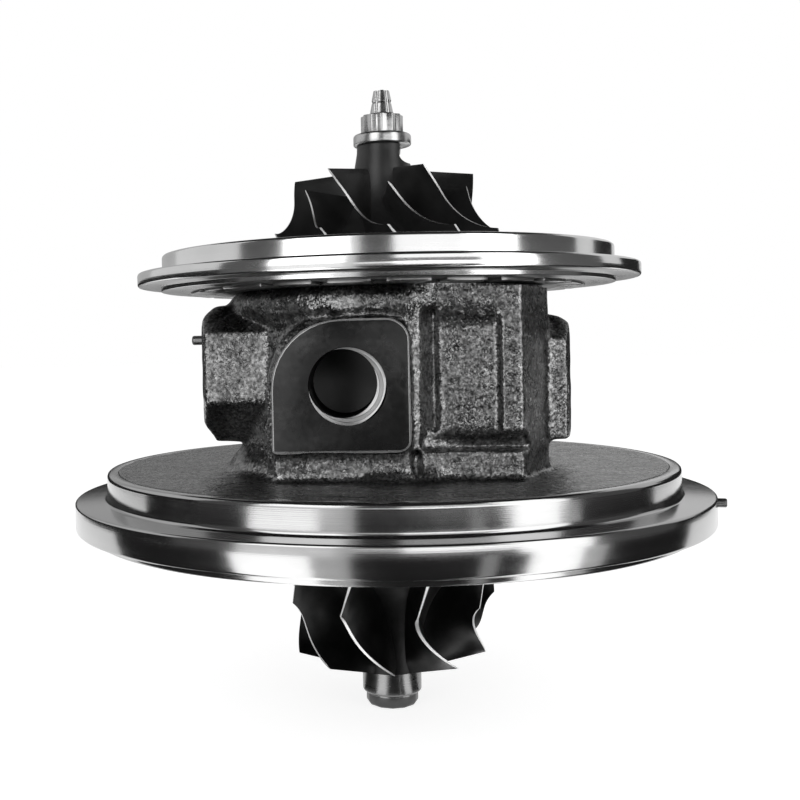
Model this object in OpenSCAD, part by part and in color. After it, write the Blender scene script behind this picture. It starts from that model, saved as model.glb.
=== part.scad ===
// Turbocharger cartridge: a cast bearing housing with its turbine flange, the compressor
// backplate on top, and the rotor that runs through both on two floating bushes.
// Millimetres. The shaft is the Z axis, +Z towards the compressor, and the origin is on the
// shaft axis in the plane where the turbine housing seats under the flange rim.

/* [Turbine flange] */
// Radius of the flange rim
flange_r = 56; // [54.5:0.5:62]
// Height of the flange rim
flange_h = 4.8; // [3.5:0.1:8]
// Width of the ledge between the flange rim and the raised step
ledge_w = 5.6; // [3:0.2:9]
// Height of the step above the rim
step_h = 4.7; // [2.5:0.1:8]
// Width of the seat under the rim, outside the pilot that centres the turbine housing
seat_w = 2.8; // [2:0.1:5]
// Height of the pilot
pilot_h = 1.4; // [0.8:0.1:3]
// Radial width of the pilot ring
pilot_wall = 2.4; // [1.5:0.1:6]
// Depth of the machined floor inside the pilot, above the seat plane
floor_rise = 0.6; // [0.2:0.1:1.5]
// Outer radius of the nose that holds the turbine seal
nose_r = 12.5; // [10.5:0.1:15]
// Reach of the nose below the seat plane
nose_drop = 4.2; // [2:0.1:4.6]

/* [Casting] */
// Height of the machined top face of the housing above the seat plane
housing_top = 40.4; // [39:0.1:43]
// Radius of the drum around the bearings
drum_r = 26; // [24:0.2:27.5]
// Radius of the collar that carries the backplate
collar_r = 28; // [27:0.2:31]
// Height of the collar
collar_h = 3.6; // [2:0.1:5]
// Width of the chamfer on the collar's top edge
collar_chamfer = 1.2; // [0.4:0.1:1.6]
// Radial width of the fillet at the foot of the drum
foot_w = 3.6; // [1:0.1:8]
// Height of the fillet at the foot of the drum
foot_h = 4; // [1:0.1:6]
// Reach of the left lobe from the shaft axis
left_reach = 33.2; // [30:0.1:38]
// Reach of the right lobe from the shaft axis
right_reach = 32.4; // [30:0.1:38]
// Height of the underside of both lobes
lobe_bottom = 14.4; // [12:0.1:17]
// Depth of the left lobe's top below the top face
left_drop = 2.2; // [0.9:0.1:4.4]
// Depth of the right lobe's top below the top face
right_drop = 4.8; // [2.4:0.1:7.4]
// Half depth of the left lobe, front to back
left_depth = 17; // [15:0.5:20]
// Half depth of the right lobe, front to back
right_depth = 14; // [10:0.5:20]
// Forward reach of the block beside the feed pad
block_reach = 27; // [26:0.1:28.5]
// Width of the groove between the feed pad's rib and the block
side_groove_w = 2.9; // [1:0.1:4]
// Depth of that groove behind the block's front
side_groove_depth = 4; // [2:0.1:5]
// Right side of the block at its front face
block_right = 21.2; // [19:0.1:23]
// Right side of the block at its back
block_flare = 27; // [25:0.1:27.6]
// Width of the raised column beside the panel in the block
panel_frame = 3.4; // [2:0.1:4.5]
// Depth of the panel in the block
panel_depth = 1.6; // [0.6:0.1:3]
// Height of the plinth under the block, above the step
plinth_h = 4.5; // [3:0.1:5]
// Depth of the plinth under the feed pad, behind the pad's face
plinth_set_back = 1.2; // [0.6:0.1:3]

/* [Oil ports] */
// Forward reach of the machined feed pad
pad_reach = 29.4; // [28.8:0.1:32]
// Width of the feed pad
pad_w = 21.7; // [18:0.1:24]
// Height of the feed pad
pad_h = 20.8; // [18:0.1:22]
// Sideways place of the middle of the feed pad
pad_x = -7.2; // [-9:0.1:-6]
// Height of the middle of the feed pad
pad_z = 24.7; // [23.5:0.1:26]
// Radius of the large corner of the feed pad
pad_big_corner = 11; // [6:0.5:12]
// Radius of the small corners of the feed pad
pad_small_corner = 1.8; // [0.5:0.1:4]
// Width of the cast base that stands out round the feed pad
pad_base_w = 1.5; // [1:0.1:3]
// Depth of that base behind the pad's face
pad_base_drop = 4; // [1.4:0.1:5]
// Sideways place of the feed hole
feed_x = -6.1; // [-8:0.1:-4]
// Height of the feed hole
feed_z = 24.6; // [23:0.1:25.5]
// Radius of the threaded feed hole
feed_r = 5.4; // [4:0.1:6]
// Depth of the threaded feed hole
feed_depth = 13; // [9:0.5:15]
// Radius of the oil drillings
oilway_r = 1.5; // [0.8:0.1:2]
// Backward reach of the drain pad
drain_reach = 29; // [28:0.1:32]
// Width of the drain pad
drain_w = 44; // [42:0.5:50]
// Height of the drain pad
drain_h = 21; // [18:0.5:22]
// Height of the drain hole
drain_z = 24; // [22.5:0.5:25.5]
// Radius of the drain hole
drain_r = 7; // [5:0.1:8]
// Distance between the two drain bolts
drain_bolt_gap = 32; // [26:0.5:34]
// Radius of the tapped drain bolt holes
drain_bolt_r = 2.5; // [2:0.1:3.4]
// Depth of the tapped drain bolt holes
drain_bolt_depth = 11; // [7:0.5:13]

/* [Backplate] */
// Radius of the lower rim of the backplate
plate_r = 44.35; // [42.5:0.05:50]
// Thickness of the lower rim
plate_rim_h = 2.4; // [1.5:0.1:4]
// Radius of the upper rim that centres the compressor housing
plate_pilot_r = 40; // [38:0.1:42]
// Height of the upper rim
plate_pilot_h = 3.2; // [2.9:0.1:5]
// Radius of the boss under the backplate
boss_r = 35; // [33:0.2:38]
// Height of the boss under the rim
boss_h = 1.3; // [1:0.1:3]
// Radius of the step between the boss and the lower rim
under_step_r = 40.2; // [38.6:0.1:41.6]
// Height of that step under the lower rim
under_step_h = 0.8; // [0.3:0.1:0.9]
// Number of slots round the boss
slot_count = 24; // [8:2:32]
// Width of a slot in the boss
slot_w = 2.2; // [1:0.1:3.5]
// Radial length of a slot in the boss
slot_length = 4.5; // [2:0.1:5]
// Turn of the slots from the front, degrees
slot_phase = -1.5; // [-7.5:0.5:7.5]
// Depth of the hollow under the compressor wheel
wheel_pocket = 2.1; // [1.9:0.1:2.6]

/* [Rotor] */
// Radius of the shaft at the bushes
journal_r = 3.5; // [3.1:0.05:4]
// Radius of the relieved middle of the shaft
waist_r = 3.2; // [2.9:0.05:3.45]
// Radius of the thin end of the shaft through the compressor
spindle_r = 2.6; // [2.55:0.05:2.8]
// Radius of the shaft's thread
thread_r = 2.5; // [2.2:0.05:2.5]
// Radius of the seal land at the turbine end
land_r = 7.4; // [6.8:0.05:8]
// Length of the shaft's stub above the nut
stub_length = 4.4; // [3.5:0.1:8]
// Radius of the tip of the shaft
tip_r = 1.45; // [1:0.05:1.8]
// Radius of the nut over its points
nut_r = 3.85; // [3.6:0.05:4.6]
// Height of the nut above its flange
nut_h = 3.2; // [2.5:0.1:3.6]
// Radius of the nut's flange
nut_flange_r = 5.2; // [4.6:0.1:6]
// Thickness of the nut's flange
nut_flange_h = 2.2; // [1:0.1:2.6]

/* [Compressor wheel] */
// Outer radius of the compressor wheel at its outlet
comp_out_r = 22; // [20:0.1:25]
// Outer radius of the compressor blades at their inlet
comp_in_r = 16.1; // [14:0.1:18]
// Radius of the hub at the nose
comp_nose_r = 4.6; // [4:0.1:5.2]
// Length of the hub from its back to its nose
comp_length = 20.6; // [19:0.1:22.5]
// Depth of the blades' inlet roots below the nose
comp_root_drop = 4.6; // [1:0.1:5]
// Depth of the blades' inlet tips below the nose
comp_inlet_drop = 5.7; // [4:0.1:7]
// Height of the blades at the outlet
comp_out_h = 3; // [2:0.1:4]
// Thickness of the wheel's back disc at its edge
comp_disc = 1.3; // [0.8:0.1:1.6]
// Number of full blades, with a splitter between each two
comp_blades = 6; // [4:1:7]
// Turn of a blade from inlet to outlet, degrees
comp_wrap = 37; // [20:1:60]
// Angle of the first blade from the front, degrees
comp_phase = -35; // [-60:1:60]

/* [Turbine wheel] */
// Outer radius of the turbine wheel
turb_r = 18.9; // [17:0.1:20]
// Radius of the turbine blades at their outlet
turb_out_r = 17; // [15:0.1:17.4]
// Radius of the hub at the outlet
turb_hub_r = 5.35; // [4.8:0.05:6]
// Height of the turbine blades at their inlet
turb_in_h = 6.2; // [5:0.1:8]
// Length of the blades from the back disc to the outlet tips
turb_length = 16.2; // [14:0.1:18]
// Depth of the back disc below the seat plane
turb_drop = 8.4; // [8:0.1:10]
// Number of turbine blades
turb_blades = 9; // [7:1:11]
// Turn of a turbine blade from inlet to outlet, degrees
turb_wrap = 28; // [10:1:40]
// Angle of the first turbine blade from the front, degrees
turb_phase = -26.5; // [-45:0.5:45]
// Depth of the outlet roots below the outlet tips
turb_out_slope = 3.5; // [1:0.1:5]
// Length of the hub from the blades' outlet to its shoulder
turb_hub_h = 4; // [2:0.1:6]
// Length of the twelve-sided boss at the end of the hub
turb_boss_h = 2; // [1:0.1:4]

/* [Bearings] */
// Outer radius of a floating bush
bush_r = 6; // [5.4:0.05:6.4]
// Length of a floating bush
bush_h = 8; // [5:0.1:9]
// Height of the oil room between the turbine seal and its bush
seal_room_h = 3.4; // [2:0.1:5]
// Thickness of a snap ring
snap_h = 0.9; // [0.6:0.05:1.1]
// Radial width of a snap ring
snap_w = 1.3; // [0.9:0.05:1.8]
// Radius of the thrust bearing plate
thrust_r = 15; // [13.5:0.1:16]
// Thickness of the thrust bearing plate
thrust_h = 3; // [2:0.1:3.2]
// Radius of the thrust faces on the collar and the flinger
thrust_face_r = 8.5; // [7.2:0.1:9]
// Thickness of the collar's thrust face
collar_face_h = 2.1; // [1.2:0.1:2.4]
// Radius of the collar's sleeve through the thrust bearing
collar_sleeve_r = 5; // [4:0.1:5.5]
// Radius of the two pins that hold the thrust bearing
thrust_pin_r = 1; // [0.7:0.05:1.2]

/* [Seals] */
// Radius of the flinger's sleeve in the backplate
flinger_r = 6; // [5.2:0.05:6.6]
// Radial width of a piston ring
ring_w = 1.05; // [0.8:0.05:1.2]
// Thickness of a piston ring
ring_h = 1.3; // [0.8:0.05:1.5]
// Width of the split in a piston ring
ring_gap = 0.4; // [0.2:0.05:1]
// Section diameter of the rubber ring under the backplate
o_ring_d = 1.2; // [0.8:0.05:1.3]
// Thickness of the heat shield sheet
shield_t = 0.7; // [0.5:0.05:0.9]
// Radius of the flat of the heat shield
shield_flat_r = 15.5; // [14:0.1:17]
// Outer radius of the heat shield
shield_r = 26; // [24:0.1:30]

/* [Fasteners and pins] */
// Number of backplate screws
screw_count = 4; // [3:1:6]
// Radius of a backplate screw
screw_r = 1.95; // [1.5:0.05:2]
// Radius of a backplate screw's head
screw_head_r = 3.4; // [2.8:0.05:3.4]
// Length of a backplate screw
screw_length = 11; // [9:0.1:12]
// Height of the dowel pin on the left lobe
dowel_z = 32.3; // [24:0.1:33]
// Radius of the dowel pin on the left lobe
dowel_r = 0.85; // [0.5:0.05:1.5]
// Length of the dowel pin that stands out
dowel_out = 2.3; // [1:0.1:4]
// Radius of the locating pin in the flange rim
rim_pin_r = 0.75; // [0.5:0.05:1.2]
// Length of the locating pin that stands out
rim_pin_out = 1.4; // [0.6:0.1:3]

/* [Clearances] */
// Radial clearance of a running fit
run_gap = 0.05; // [0.02:0.01:0.08]
// Radial clearance of pieces that are fitted together
fit_gap = 0.02; // [0.01:0.005:0.04]
// Gap that a loose piece keeps along the shaft
float_gap = 0.1; // [0.05:0.01:0.2]
// Gap round a wheel and round a screw's shank
free_gap = 0.4; // [0.2:0.05:0.6]

/* [Hidden] */
$fn = 96;
// Chamfer on machined edges
edge = 0.5;
// How far a cut runs past the surface that it opens
overshoot = 1;
// Stations along a blade, and points along a hub's curve
blade_steps = 10;
curve_steps = 12;
// How far a blade's root sinks into the hub
sink = 0.8;
// Length of a pin inside the piece that holds it
pin_hold = 5;
// Wall between an oil room and the nearest ring groove
bore_wall = 0.6;
// Lip on each side of the rubber ring's groove
groove_lip = 0.4;
// Room round the thrust faces, and over the upper one
thrust_room_gap = 1.5;
flinger_room_h = 1.2;
// Land between a piston ring's groove and the room beside it
ring_land = 1.3;
// Rise of the weld between shaft and turbine wheel above the nose's end, and its step inwards
weld_rise = 1.2;
weld_step = 0.3;
// How far the seal's bore runs past the land of the shaft
bore_over = 1;
// Radial width of the oil rooms, and the wall between a bush and the drain room
oil_room_w = 5;
drain_wall = 2.5;
// How far a journal runs past its bush
journal_over = 1.5;
// Depth of the block's top below the top face, and of its panel below the collar
block_drop = 0.6;
panel_drop = 0.2;
// Height of the slope over the panel
panel_slope = 2.2;
// Rise and depth of the slope between the plinth's front and the block above it
plinth_gap = 2.7;
plinth_slope = 2.6;
// Depth of the notch between the two plinths
notch_depth = 1.6;
// Straight height of the compressor blades' tips below the inlet
comp_straight_h = 4;
// Wall over the locating pin in the flange rim
rim_pin_cover = 0.2;

// Radii and heights of the casting and the backplate
step_r = flange_r - ledge_w;
pilot_r = flange_r - seat_w;
step_top = flange_h + step_h;
left_top = housing_top - left_drop;
right_top = housing_top - right_drop;
collar_z = housing_top - collar_h;
plate_z = housing_top + boss_h;
under_step_z = plate_z - under_step_h;
plate_shoulder_z = plate_z + plate_rim_h;
plate_top = plate_shoulder_z + plate_pilot_h;
pocket_floor = plate_top - wheel_pocket;
pocket_r = comp_out_r + free_gap;

// Front of the casting: feed pad, its rib, the groove beside it, the block and the plinth
pad_left = pad_x - pad_w / 2;
pad_right = pad_x + pad_w / 2;
pad_low = pad_z - pad_h / 2;
rib_right = pad_right + pad_base_w;
block_left = rib_right + side_groove_w;
block_low = step_top + plinth_h + plinth_gap;
block_high = housing_top - block_drop;
panel_high = collar_z - panel_drop;

// Thrust bearing, collar and flinger, from the backplate's spigot downwards
groove_h = o_ring_d + 2 * float_gap;
thrust_top = housing_top - groove_h - 2 * groove_lip;
thrust_z = thrust_top - thrust_h;
collar_seat = thrust_z - collar_face_h - float_gap / 2;
collar_room = collar_seat - 2 * float_gap;
collar_top = thrust_top + float_gap / 2;
thrust_room_r = thrust_face_r + thrust_room_gap;
flinger_face_top = housing_top - float_gap / 2;
flinger_room_top = housing_top + flinger_room_h;
flinger_top = pocket_floor + 2 * free_gap;
flinger_bore_r = flinger_r + run_gap;
comp_ring_z = flinger_room_top + ring_land;

// Turbine seal, oil room, bushes and their snap rings, upwards
weld_z = weld_rise - nose_drop;
land_top = 3;
land_bore_r = land_r + run_gap;
turb_ring_z = (weld_z + land_top - ring_h) / 2;
seal_room_z = land_top + bore_over;
seal_room_top = seal_room_z + seal_room_h;
oil_room_r = bush_r + oil_room_w;
bush_bore_r = bush_r + run_gap;
turb_bush_z = seal_room_top + bore_wall + snap_h + float_gap;
comp_bush_z = collar_room - bore_wall - snap_h - float_gap - bush_h;
snap_zs = [
    turb_bush_z - float_gap - snap_h,
    turb_bush_z + bush_h + float_gap,
    comp_bush_z - float_gap - snap_h,
    comp_bush_z + bush_h + float_gap
];
waist_bottom = turb_bush_z + bush_h + journal_over;
waist_top = comp_bush_z - journal_over;

// Compressor wheel and nut, upwards from the flinger
comp_back = flinger_top;
comp_floor = comp_back + comp_disc;
comp_outlet = comp_floor + comp_out_h;
comp_nose = comp_back + comp_length;
comp_hub_start = comp_nose - comp_root_drop;
comp_inlet = comp_nose - comp_inlet_drop;
comp_bend = comp_inlet - comp_straight_h;
comp_split = 0.22;
nut_top = comp_nose + nut_flange_h + nut_h;
shaft_top = nut_top + stub_length;

// Turbine wheel, downwards from its back disc
turb_back = -turb_drop;
turb_disc_h = 1;
turb_tip_bottom = turb_back - turb_in_h;
turb_tip_end = turb_back - turb_length;
turb_hub_end = turb_tip_end - turb_out_slope;
turb_shoulder = turb_hub_end - turb_hub_h;
turb_end = turb_shoulder - edge - turb_boss_h;
weld_r = land_r - weld_step;

// Pins and screws
thrust_pin_circle_r = (thrust_room_r + thrust_r) / 2;
first_screw_angle = 45;
screw_angles = [for (i = [0 : screw_count - 1]) first_screw_angle + i * 360 / screw_count];
screw_circle_r = (thrust_r + pocket_r) / 2;
screw_head_h = screw_head_r - screw_r;
rim_pin_z = flange_h - rim_pin_r - rim_pin_cover;
rim_pin_angle = -16;

iron = [0.16, 0.16, 0.16];
machined_iron = [0.5, 0.5, 0.5];
aluminium = [0.78, 0.78, 0.79];
black_wheel = [0.1, 0.1, 0.1];
bright_steel = [0.72, 0.72, 0.72];
dull_steel = [0.4, 0.4, 0.38];
bronze = [0.7, 0.5, 0.25];
black_rubber = [0.05, 0.05, 0.05];

// A point at radius r and height z, at an angle from the front, turning to the right
function at_angle(r, angle, z) = [r * sin(angle), -r * cos(angle), z];

// Points of an arc
function arc(centre, r, from, to, steps = 8) =
    [for (i = [0 : steps])
        let (a = from + (to - from) * i / steps)
        centre + r * [cos(a), sin(a)]];

// A ring between two radii, standing on height z
module ring(outer, inner, z, h) {
    translate([0, 0, z])
        difference() {
            cylinder(r = outer, h = h);
            translate([0, 0, -overshoot]) cylinder(r = inner, h = h + 2 * overshoot);
        }
}

// A plain cylinder that starts at height z
module post(r, z, h) {
    translate([0, 0, z]) cylinder(r = r, h = h);
}

// A straight drilling between two points
module drilling(from, to, r) {
    way = to - from;
    flat = norm([way.x, way.y]);
    translate(from)
        rotate([0, atan2(flat, way.z), atan2(way.y, way.x)])
            cylinder(r = r, h = norm(way));
}

// A side profile in X and Z, pushed forward (towards -Y) from the shaft axis
module forward(reach) {
    rotate([90, 0, 0]) linear_extrude(reach) children();
}

// One blade: four points at each station, closed by a cap at both ends
module blade(stations) {
    last = len(stations) - 1;
    polyhedron(
        points = [for (s = stations) each s],
        faces = concat(
            [[0, 1, 2], [0, 2, 3]],
            [for (i = [0 : last - 1], k = [0 : 3], half = [0, 1])
                let (a = 4 * i + k, b = 4 * i + (k + 1) % 4)
                half == 0 ? [a, a + 4, b] : [b, a + 4, b + 4]],
            [[4 * last, 4 * last + 2, 4 * last + 1], [4 * last, 4 * last + 3, 4 * last + 2]]
        )
    );
}

// The four corners of a blade between a hub point and a tip point in the radius-height plane
function section(hub, tip, hub_angle, tip_angle, hub_t, tip_t) =
    let (
        root = hub + sink * (hub - tip) / norm(hub - tip),
        hub_turn = hub_t / root.x * 90 / PI,
        tip_turn = tip_t / tip.x * 90 / PI
    )
    [
        at_angle(root.x, hub_angle - hub_turn, root.y),
        at_angle(root.x, hub_angle + hub_turn, root.y),
        at_angle(tip.x, tip_angle + tip_turn, tip.y),
        at_angle(tip.x, tip_angle - tip_turn, tip.y)
    ];

// Turned outline of the flange: nose, floor, pilot, rim and step
module flange_turning() {
    rotate_extrude()
        polygon([
            [0, -nose_drop], [nose_r - edge, -nose_drop], [nose_r, -nose_drop + edge],
            [nose_r, floor_rise], [pilot_r - pilot_wall, floor_rise],
            [pilot_r - pilot_wall, -pilot_h], [pilot_r, -pilot_h], [pilot_r, 0],
            [flange_r - edge, 0], [flange_r, edge],
            [flange_r, flange_h - edge], [flange_r - edge, flange_h],
            [step_r, flange_h], [step_r, step_top - edge], [step_r - edge, step_top],
            [0, step_top]
        ]);
}

// Turned outline of the drum, with its foot and collar; it starts below the cut on top of the step
module drum_turning() {
    rotate_extrude()
        polygon([
            [0, flange_h], [drum_r + foot_w, flange_h], [drum_r + foot_w, step_top],
            [drum_r, step_top + foot_h],
            [drum_r, collar_z - (collar_r - drum_r)], [collar_r, collar_z],
            [collar_r, housing_top - collar_chamfer], [collar_r - collar_chamfer, housing_top],
            [0, housing_top]
        ]);
}

// Plan of a lobe that reaches to the right: its end leans back towards the front and back corners
module lobe_plan(reach, depth, lean) {
    end_flat = 3;
    wide = depth + overshoot;
    corner = reach - lean * (wide - end_flat);
    tip = reach + lean * end_flat / 2;
    polygon([
        [-overshoot, -wide], [corner, -wide], [tip, -end_flat / 2],
        [tip, end_flat / 2], [corner, wide], [-overshoot, wide]
    ]);
}

// Left lobe: a band with sloped top and bottom and a drafted, leaning end
module left_lobe() {
    low_slope = 7.2;
    high_slope = 4.7;
    low_draft = 3.2;
    high_draft = 3.4;
    lean = 0.18;
    flat_low = lobe_bottom + low_slope;
    flat_high = left_top - high_slope;
    narrow = left_depth - low_slope;
    intersection() {
        rotate([0, -90, 0])
            linear_extrude(left_reach + overshoot)
                polygon([
                    [lobe_bottom, -narrow], [flat_low, -left_depth],
                    [flat_high, -left_depth], [left_top, -narrow],
                    [left_top, narrow], [flat_high, left_depth],
                    [flat_low, left_depth], [lobe_bottom, narrow]
                ]);
        translate([0, left_depth + overshoot, 0])
            forward(2 * (left_depth + overshoot))
                polygon([
                    [0, lobe_bottom], [-left_reach + low_draft, lobe_bottom], [-left_reach, flat_low],
                    [-left_reach, flat_high], [-left_reach + high_draft, left_top], [0, left_top]
                ]);
        mirror([1, 0, 0])
            linear_extrude(left_top + overshoot) lobe_plan(left_reach, left_depth, lean);
    }
}

// Right lobe: a lower band with a round shoulder, sloped to the front and back, and a leaning end
module right_lobe() {
    shoulder = 5;
    slope_w = 5.5;
    slope_h = 4.2;
    lean = 0.2;
    rise = slope_h / slope_w;
    wide = right_depth + overshoot;
    flat = right_depth - slope_w - overshoot / rise;
    low = right_top - slope_h - overshoot * rise;
    high = right_top + overshoot;
    intersection() {
        translate([0, right_depth, 0])
            forward(2 * right_depth)
                polygon(concat(
                    [[0, lobe_bottom], [right_reach, lobe_bottom]],
                    arc([right_reach - shoulder, right_top - shoulder], shoulder, 0, 90),
                    [[0, right_top]]
                ));
        sideways(-overshoot, right_reach + overshoot)
            polygon([[-wide, 0], [wide, 0], [wide, low], [flat, high], [-flat, high], [-wide, low]]);
        linear_extrude(high) lobe_plan(right_reach, right_depth, lean);
    }
}

// Outline of the feed pad down to a height: one large corner, the others small
module pad_outline(low, grow = 0) {
    left = pad_left - grow;
    right = pad_right + grow;
    top = pad_z + pad_h / 2 + grow;
    big = pad_big_corner + grow;
    small = pad_small_corner + grow;
    polygon(concat(
        arc([right - small, low + small], small, -90, 0),
        arc([right - 2 * small, top - 2 * small], 2 * small, 0, 90),
        arc([left + big, top - big], big, 90, 180),
        [[left, low]]
    ));
}

// Feed pad on its cast base and plinth, with the rib that runs up beside it
module feed_pad() {
    base_reach = pad_reach - pad_base_drop;
    forward(base_reach) pad_outline(flange_h, pad_base_w);
    forward(pad_reach) pad_outline(pad_low);
    forward(pad_reach - plinth_set_back)
        translate([pad_left, flange_h]) square([pad_w, pad_z - flange_h]);
    forward(block_reach)
        translate([pad_right - pad_base_w, pad_low]) square([2 * pad_base_w, block_high - pad_low]);
}

// Plan of the block and of its plinth, with a flared right side
module block_plan() {
    polygon([
        [pad_right, 0], [pad_right, -block_reach], [block_right, -block_reach],
        [block_flare, -block_reach / 2], [block_flare, 0]
    ]);
}

// A side profile in Y and Z, pushed to the right from one place to another
module sideways(from, to) {
    translate([from, 0, 0])
        rotate([90, 0, 90]) linear_extrude(to - from) children();
}

// Panel in the block's front: open below, with a slope over it
module panel_recess() {
    back = panel_depth - block_reach;
    sideways(block_left, block_right - panel_frame)
        polygon([
            [-block_reach - overshoot, block_low - overshoot], [back, block_low - overshoot],
            [back, panel_high - panel_slope], [-block_reach, panel_high],
            [-block_reach - overshoot, panel_high]
        ]);
}

// Plinth under the block, and the block's foot, which slopes back on its way down to it
module block_plinth() {
    plinth_top = step_top + plinth_h;
    panel_front = panel_depth - block_reach;
    translate([0, 0, flange_h]) linear_extrude(plinth_top - flange_h) block_plan();
    intersection() {
        translate([0, 0, flange_h])
            linear_extrude(block_low + 2 * overshoot - flange_h) block_plan();
        sideways(0, block_flare + overshoot)
            polygon([
                [0, plinth_top - overshoot], [panel_front + plinth_slope, plinth_top - overshoot],
                [panel_front + plinth_slope, plinth_top], [panel_front, block_low],
                [panel_front + overshoot, block_low + overshoot], [0, block_low + overshoot]
            ]);
    }
}

// Block beside the feed pad: a bar and a column round a panel, over a plinth
module front_block() {
    difference() {
        translate([0, 0, block_low])
            linear_extrude(block_high - block_low) block_plan();
        panel_recess();
    }
    block_plinth();
}

// Notch at the foot, between the feed pad's plinth and the block's
module foot_notch() {
    translate([pad_right, -block_reach - overshoot, flange_h])
        cube([pad_base_w, notch_depth + overshoot, pad_low - flange_h]);
}

// Groove between the feed pad's rib and the block: it slopes from the rib down to the block
module side_groove() {
    translate([0, 0, block_low])
        linear_extrude(panel_high - block_low)
            polygon([
                [rib_right, -block_reach - overshoot], [rib_right, -block_reach],
                [block_left, side_groove_depth - block_reach], [block_left, -block_reach - overshoot]
            ]);
}

// Boss behind the shaft that takes the drain pipe's flange
module drain_boss() {
    corner = 5;
    translate([0, 0, drain_z])
        rotate([-90, 0, 0])
            linear_extrude(drain_reach)
                polygon(concat(
                    arc([drain_w / 2 - corner, drain_h / 2 - corner], corner, 0, 90),
                    arc([corner - drain_w / 2, drain_h / 2 - corner], corner, 90, 180),
                    arc([corner - drain_w / 2, corner - drain_h / 2], corner, 180, 270),
                    arc([drain_w / 2 - corner, corner - drain_h / 2], corner, 270, 360)
                ));
}

// Bores along the shaft: seal, bushes with their ring grooves, thrust room and top recess
module shaft_bores() {
    groove_r = bush_bore_r + snap_w / 2 + fit_gap;
    post(land_bore_r, -nose_drop - overshoot, seal_room_z + nose_drop + 2 * overshoot);
    post(oil_room_r, seal_room_z, seal_room_top - seal_room_z);
    post(bush_bore_r, seal_room_top - overshoot, collar_room - seal_room_top + 2 * overshoot);
    for (z = snap_zs) post(groove_r, z - float_gap / 2, snap_h + float_gap);
    post(thrust_room_r, collar_room, thrust_z - collar_room + overshoot);
    post(thrust_r + fit_gap, thrust_z, housing_top - thrust_z + overshoot);
}

// Oil ways: threaded feed with its drillings, and the drain room with its pipe hole and bolts
module oil_ways() {
    feed_end = feed_depth - pad_reach;
    mouth = 0.7;
    room_over = 0.5;
    start = [feed_x, feed_end - overshoot, feed_z];
    room_w = 2 * (drain_r + room_over);
    room_y = bush_r + drain_wall;
    translate([feed_x, feed_end, feed_z])
        rotate([90, 0, 0]) cylinder(r = feed_r, h = feed_depth + overshoot);
    translate([feed_x, mouth - pad_reach, feed_z])
        rotate([90, 0, 0]) cylinder(r1 = feed_r, r2 = feed_r + 2 * mouth, h = 2 * mouth);
    for (z = [turb_bush_z, comp_bush_z])
        drilling(start, [0, -bush_r, z + bush_h / 2], oilway_r);
    translate([-room_w / 2, room_y, seal_room_z])
        cube([room_w, drain_reach / 2, collar_room - seal_room_z + overshoot]);
    post(oil_room_r, snap_zs[1] + snap_h + bore_wall, snap_zs[2] - snap_zs[1] - snap_h - 2 * bore_wall);
    translate([0, drain_reach / 2, drain_z])
        rotate([-90, 0, 0]) cylinder(r = drain_r, h = drain_reach);
    for (side = [-1, 1])
        translate([side * drain_bolt_gap / 2, drain_reach - drain_bolt_depth, drain_z])
            rotate([-90, 0, 0]) cylinder(r = drain_bolt_r, h = drain_bolt_depth + overshoot);
}

// Holes for the pins and screws that the housing holds
module housing_pin_holes() {
    for (angle = screw_angles)
        rotate(angle)
            translate([screw_circle_r, 0, pocket_floor - screw_length])
                cylinder(r = screw_r + fit_gap, h = screw_length);
    for (side = [-1, 1])
        translate([side * thrust_pin_circle_r, 0, thrust_z - pin_hold])
            cylinder(r = thrust_pin_r + fit_gap, h = pin_hold + overshoot);
    translate([pin_hold - left_reach, 0, dowel_z])
        rotate([0, -90, 0]) cylinder(r = dowel_r + fit_gap, h = pin_hold + overshoot);
    rotate(rim_pin_angle)
        translate([flange_r - pin_hold, 0, rim_pin_z])
            rotate([0, 90, 0]) cylinder(r = rim_pin_r + fit_gap, h = pin_hold + overshoot);
}

// Wide foot of the housing's casting, up to the top of its step
module turbine_flange() {
    color(machined_iron)
        difference() {
            flange_turning();
            shaft_bores();
            oil_ways();
            housing_pin_holes();
        }
}

// Casting above the flange, with all that stands out of its drum
module bearing_housing() {
    color(iron)
        difference() {
            union() {
                drum_turning();
                left_lobe();
                right_lobe();
                feed_pad();
                front_block();
                drain_boss();
            }
            post(flange_r, 0, step_top);
            side_groove();
            foot_notch();
            shaft_bores();
            oil_ways();
            housing_pin_holes();
        }
}

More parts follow.
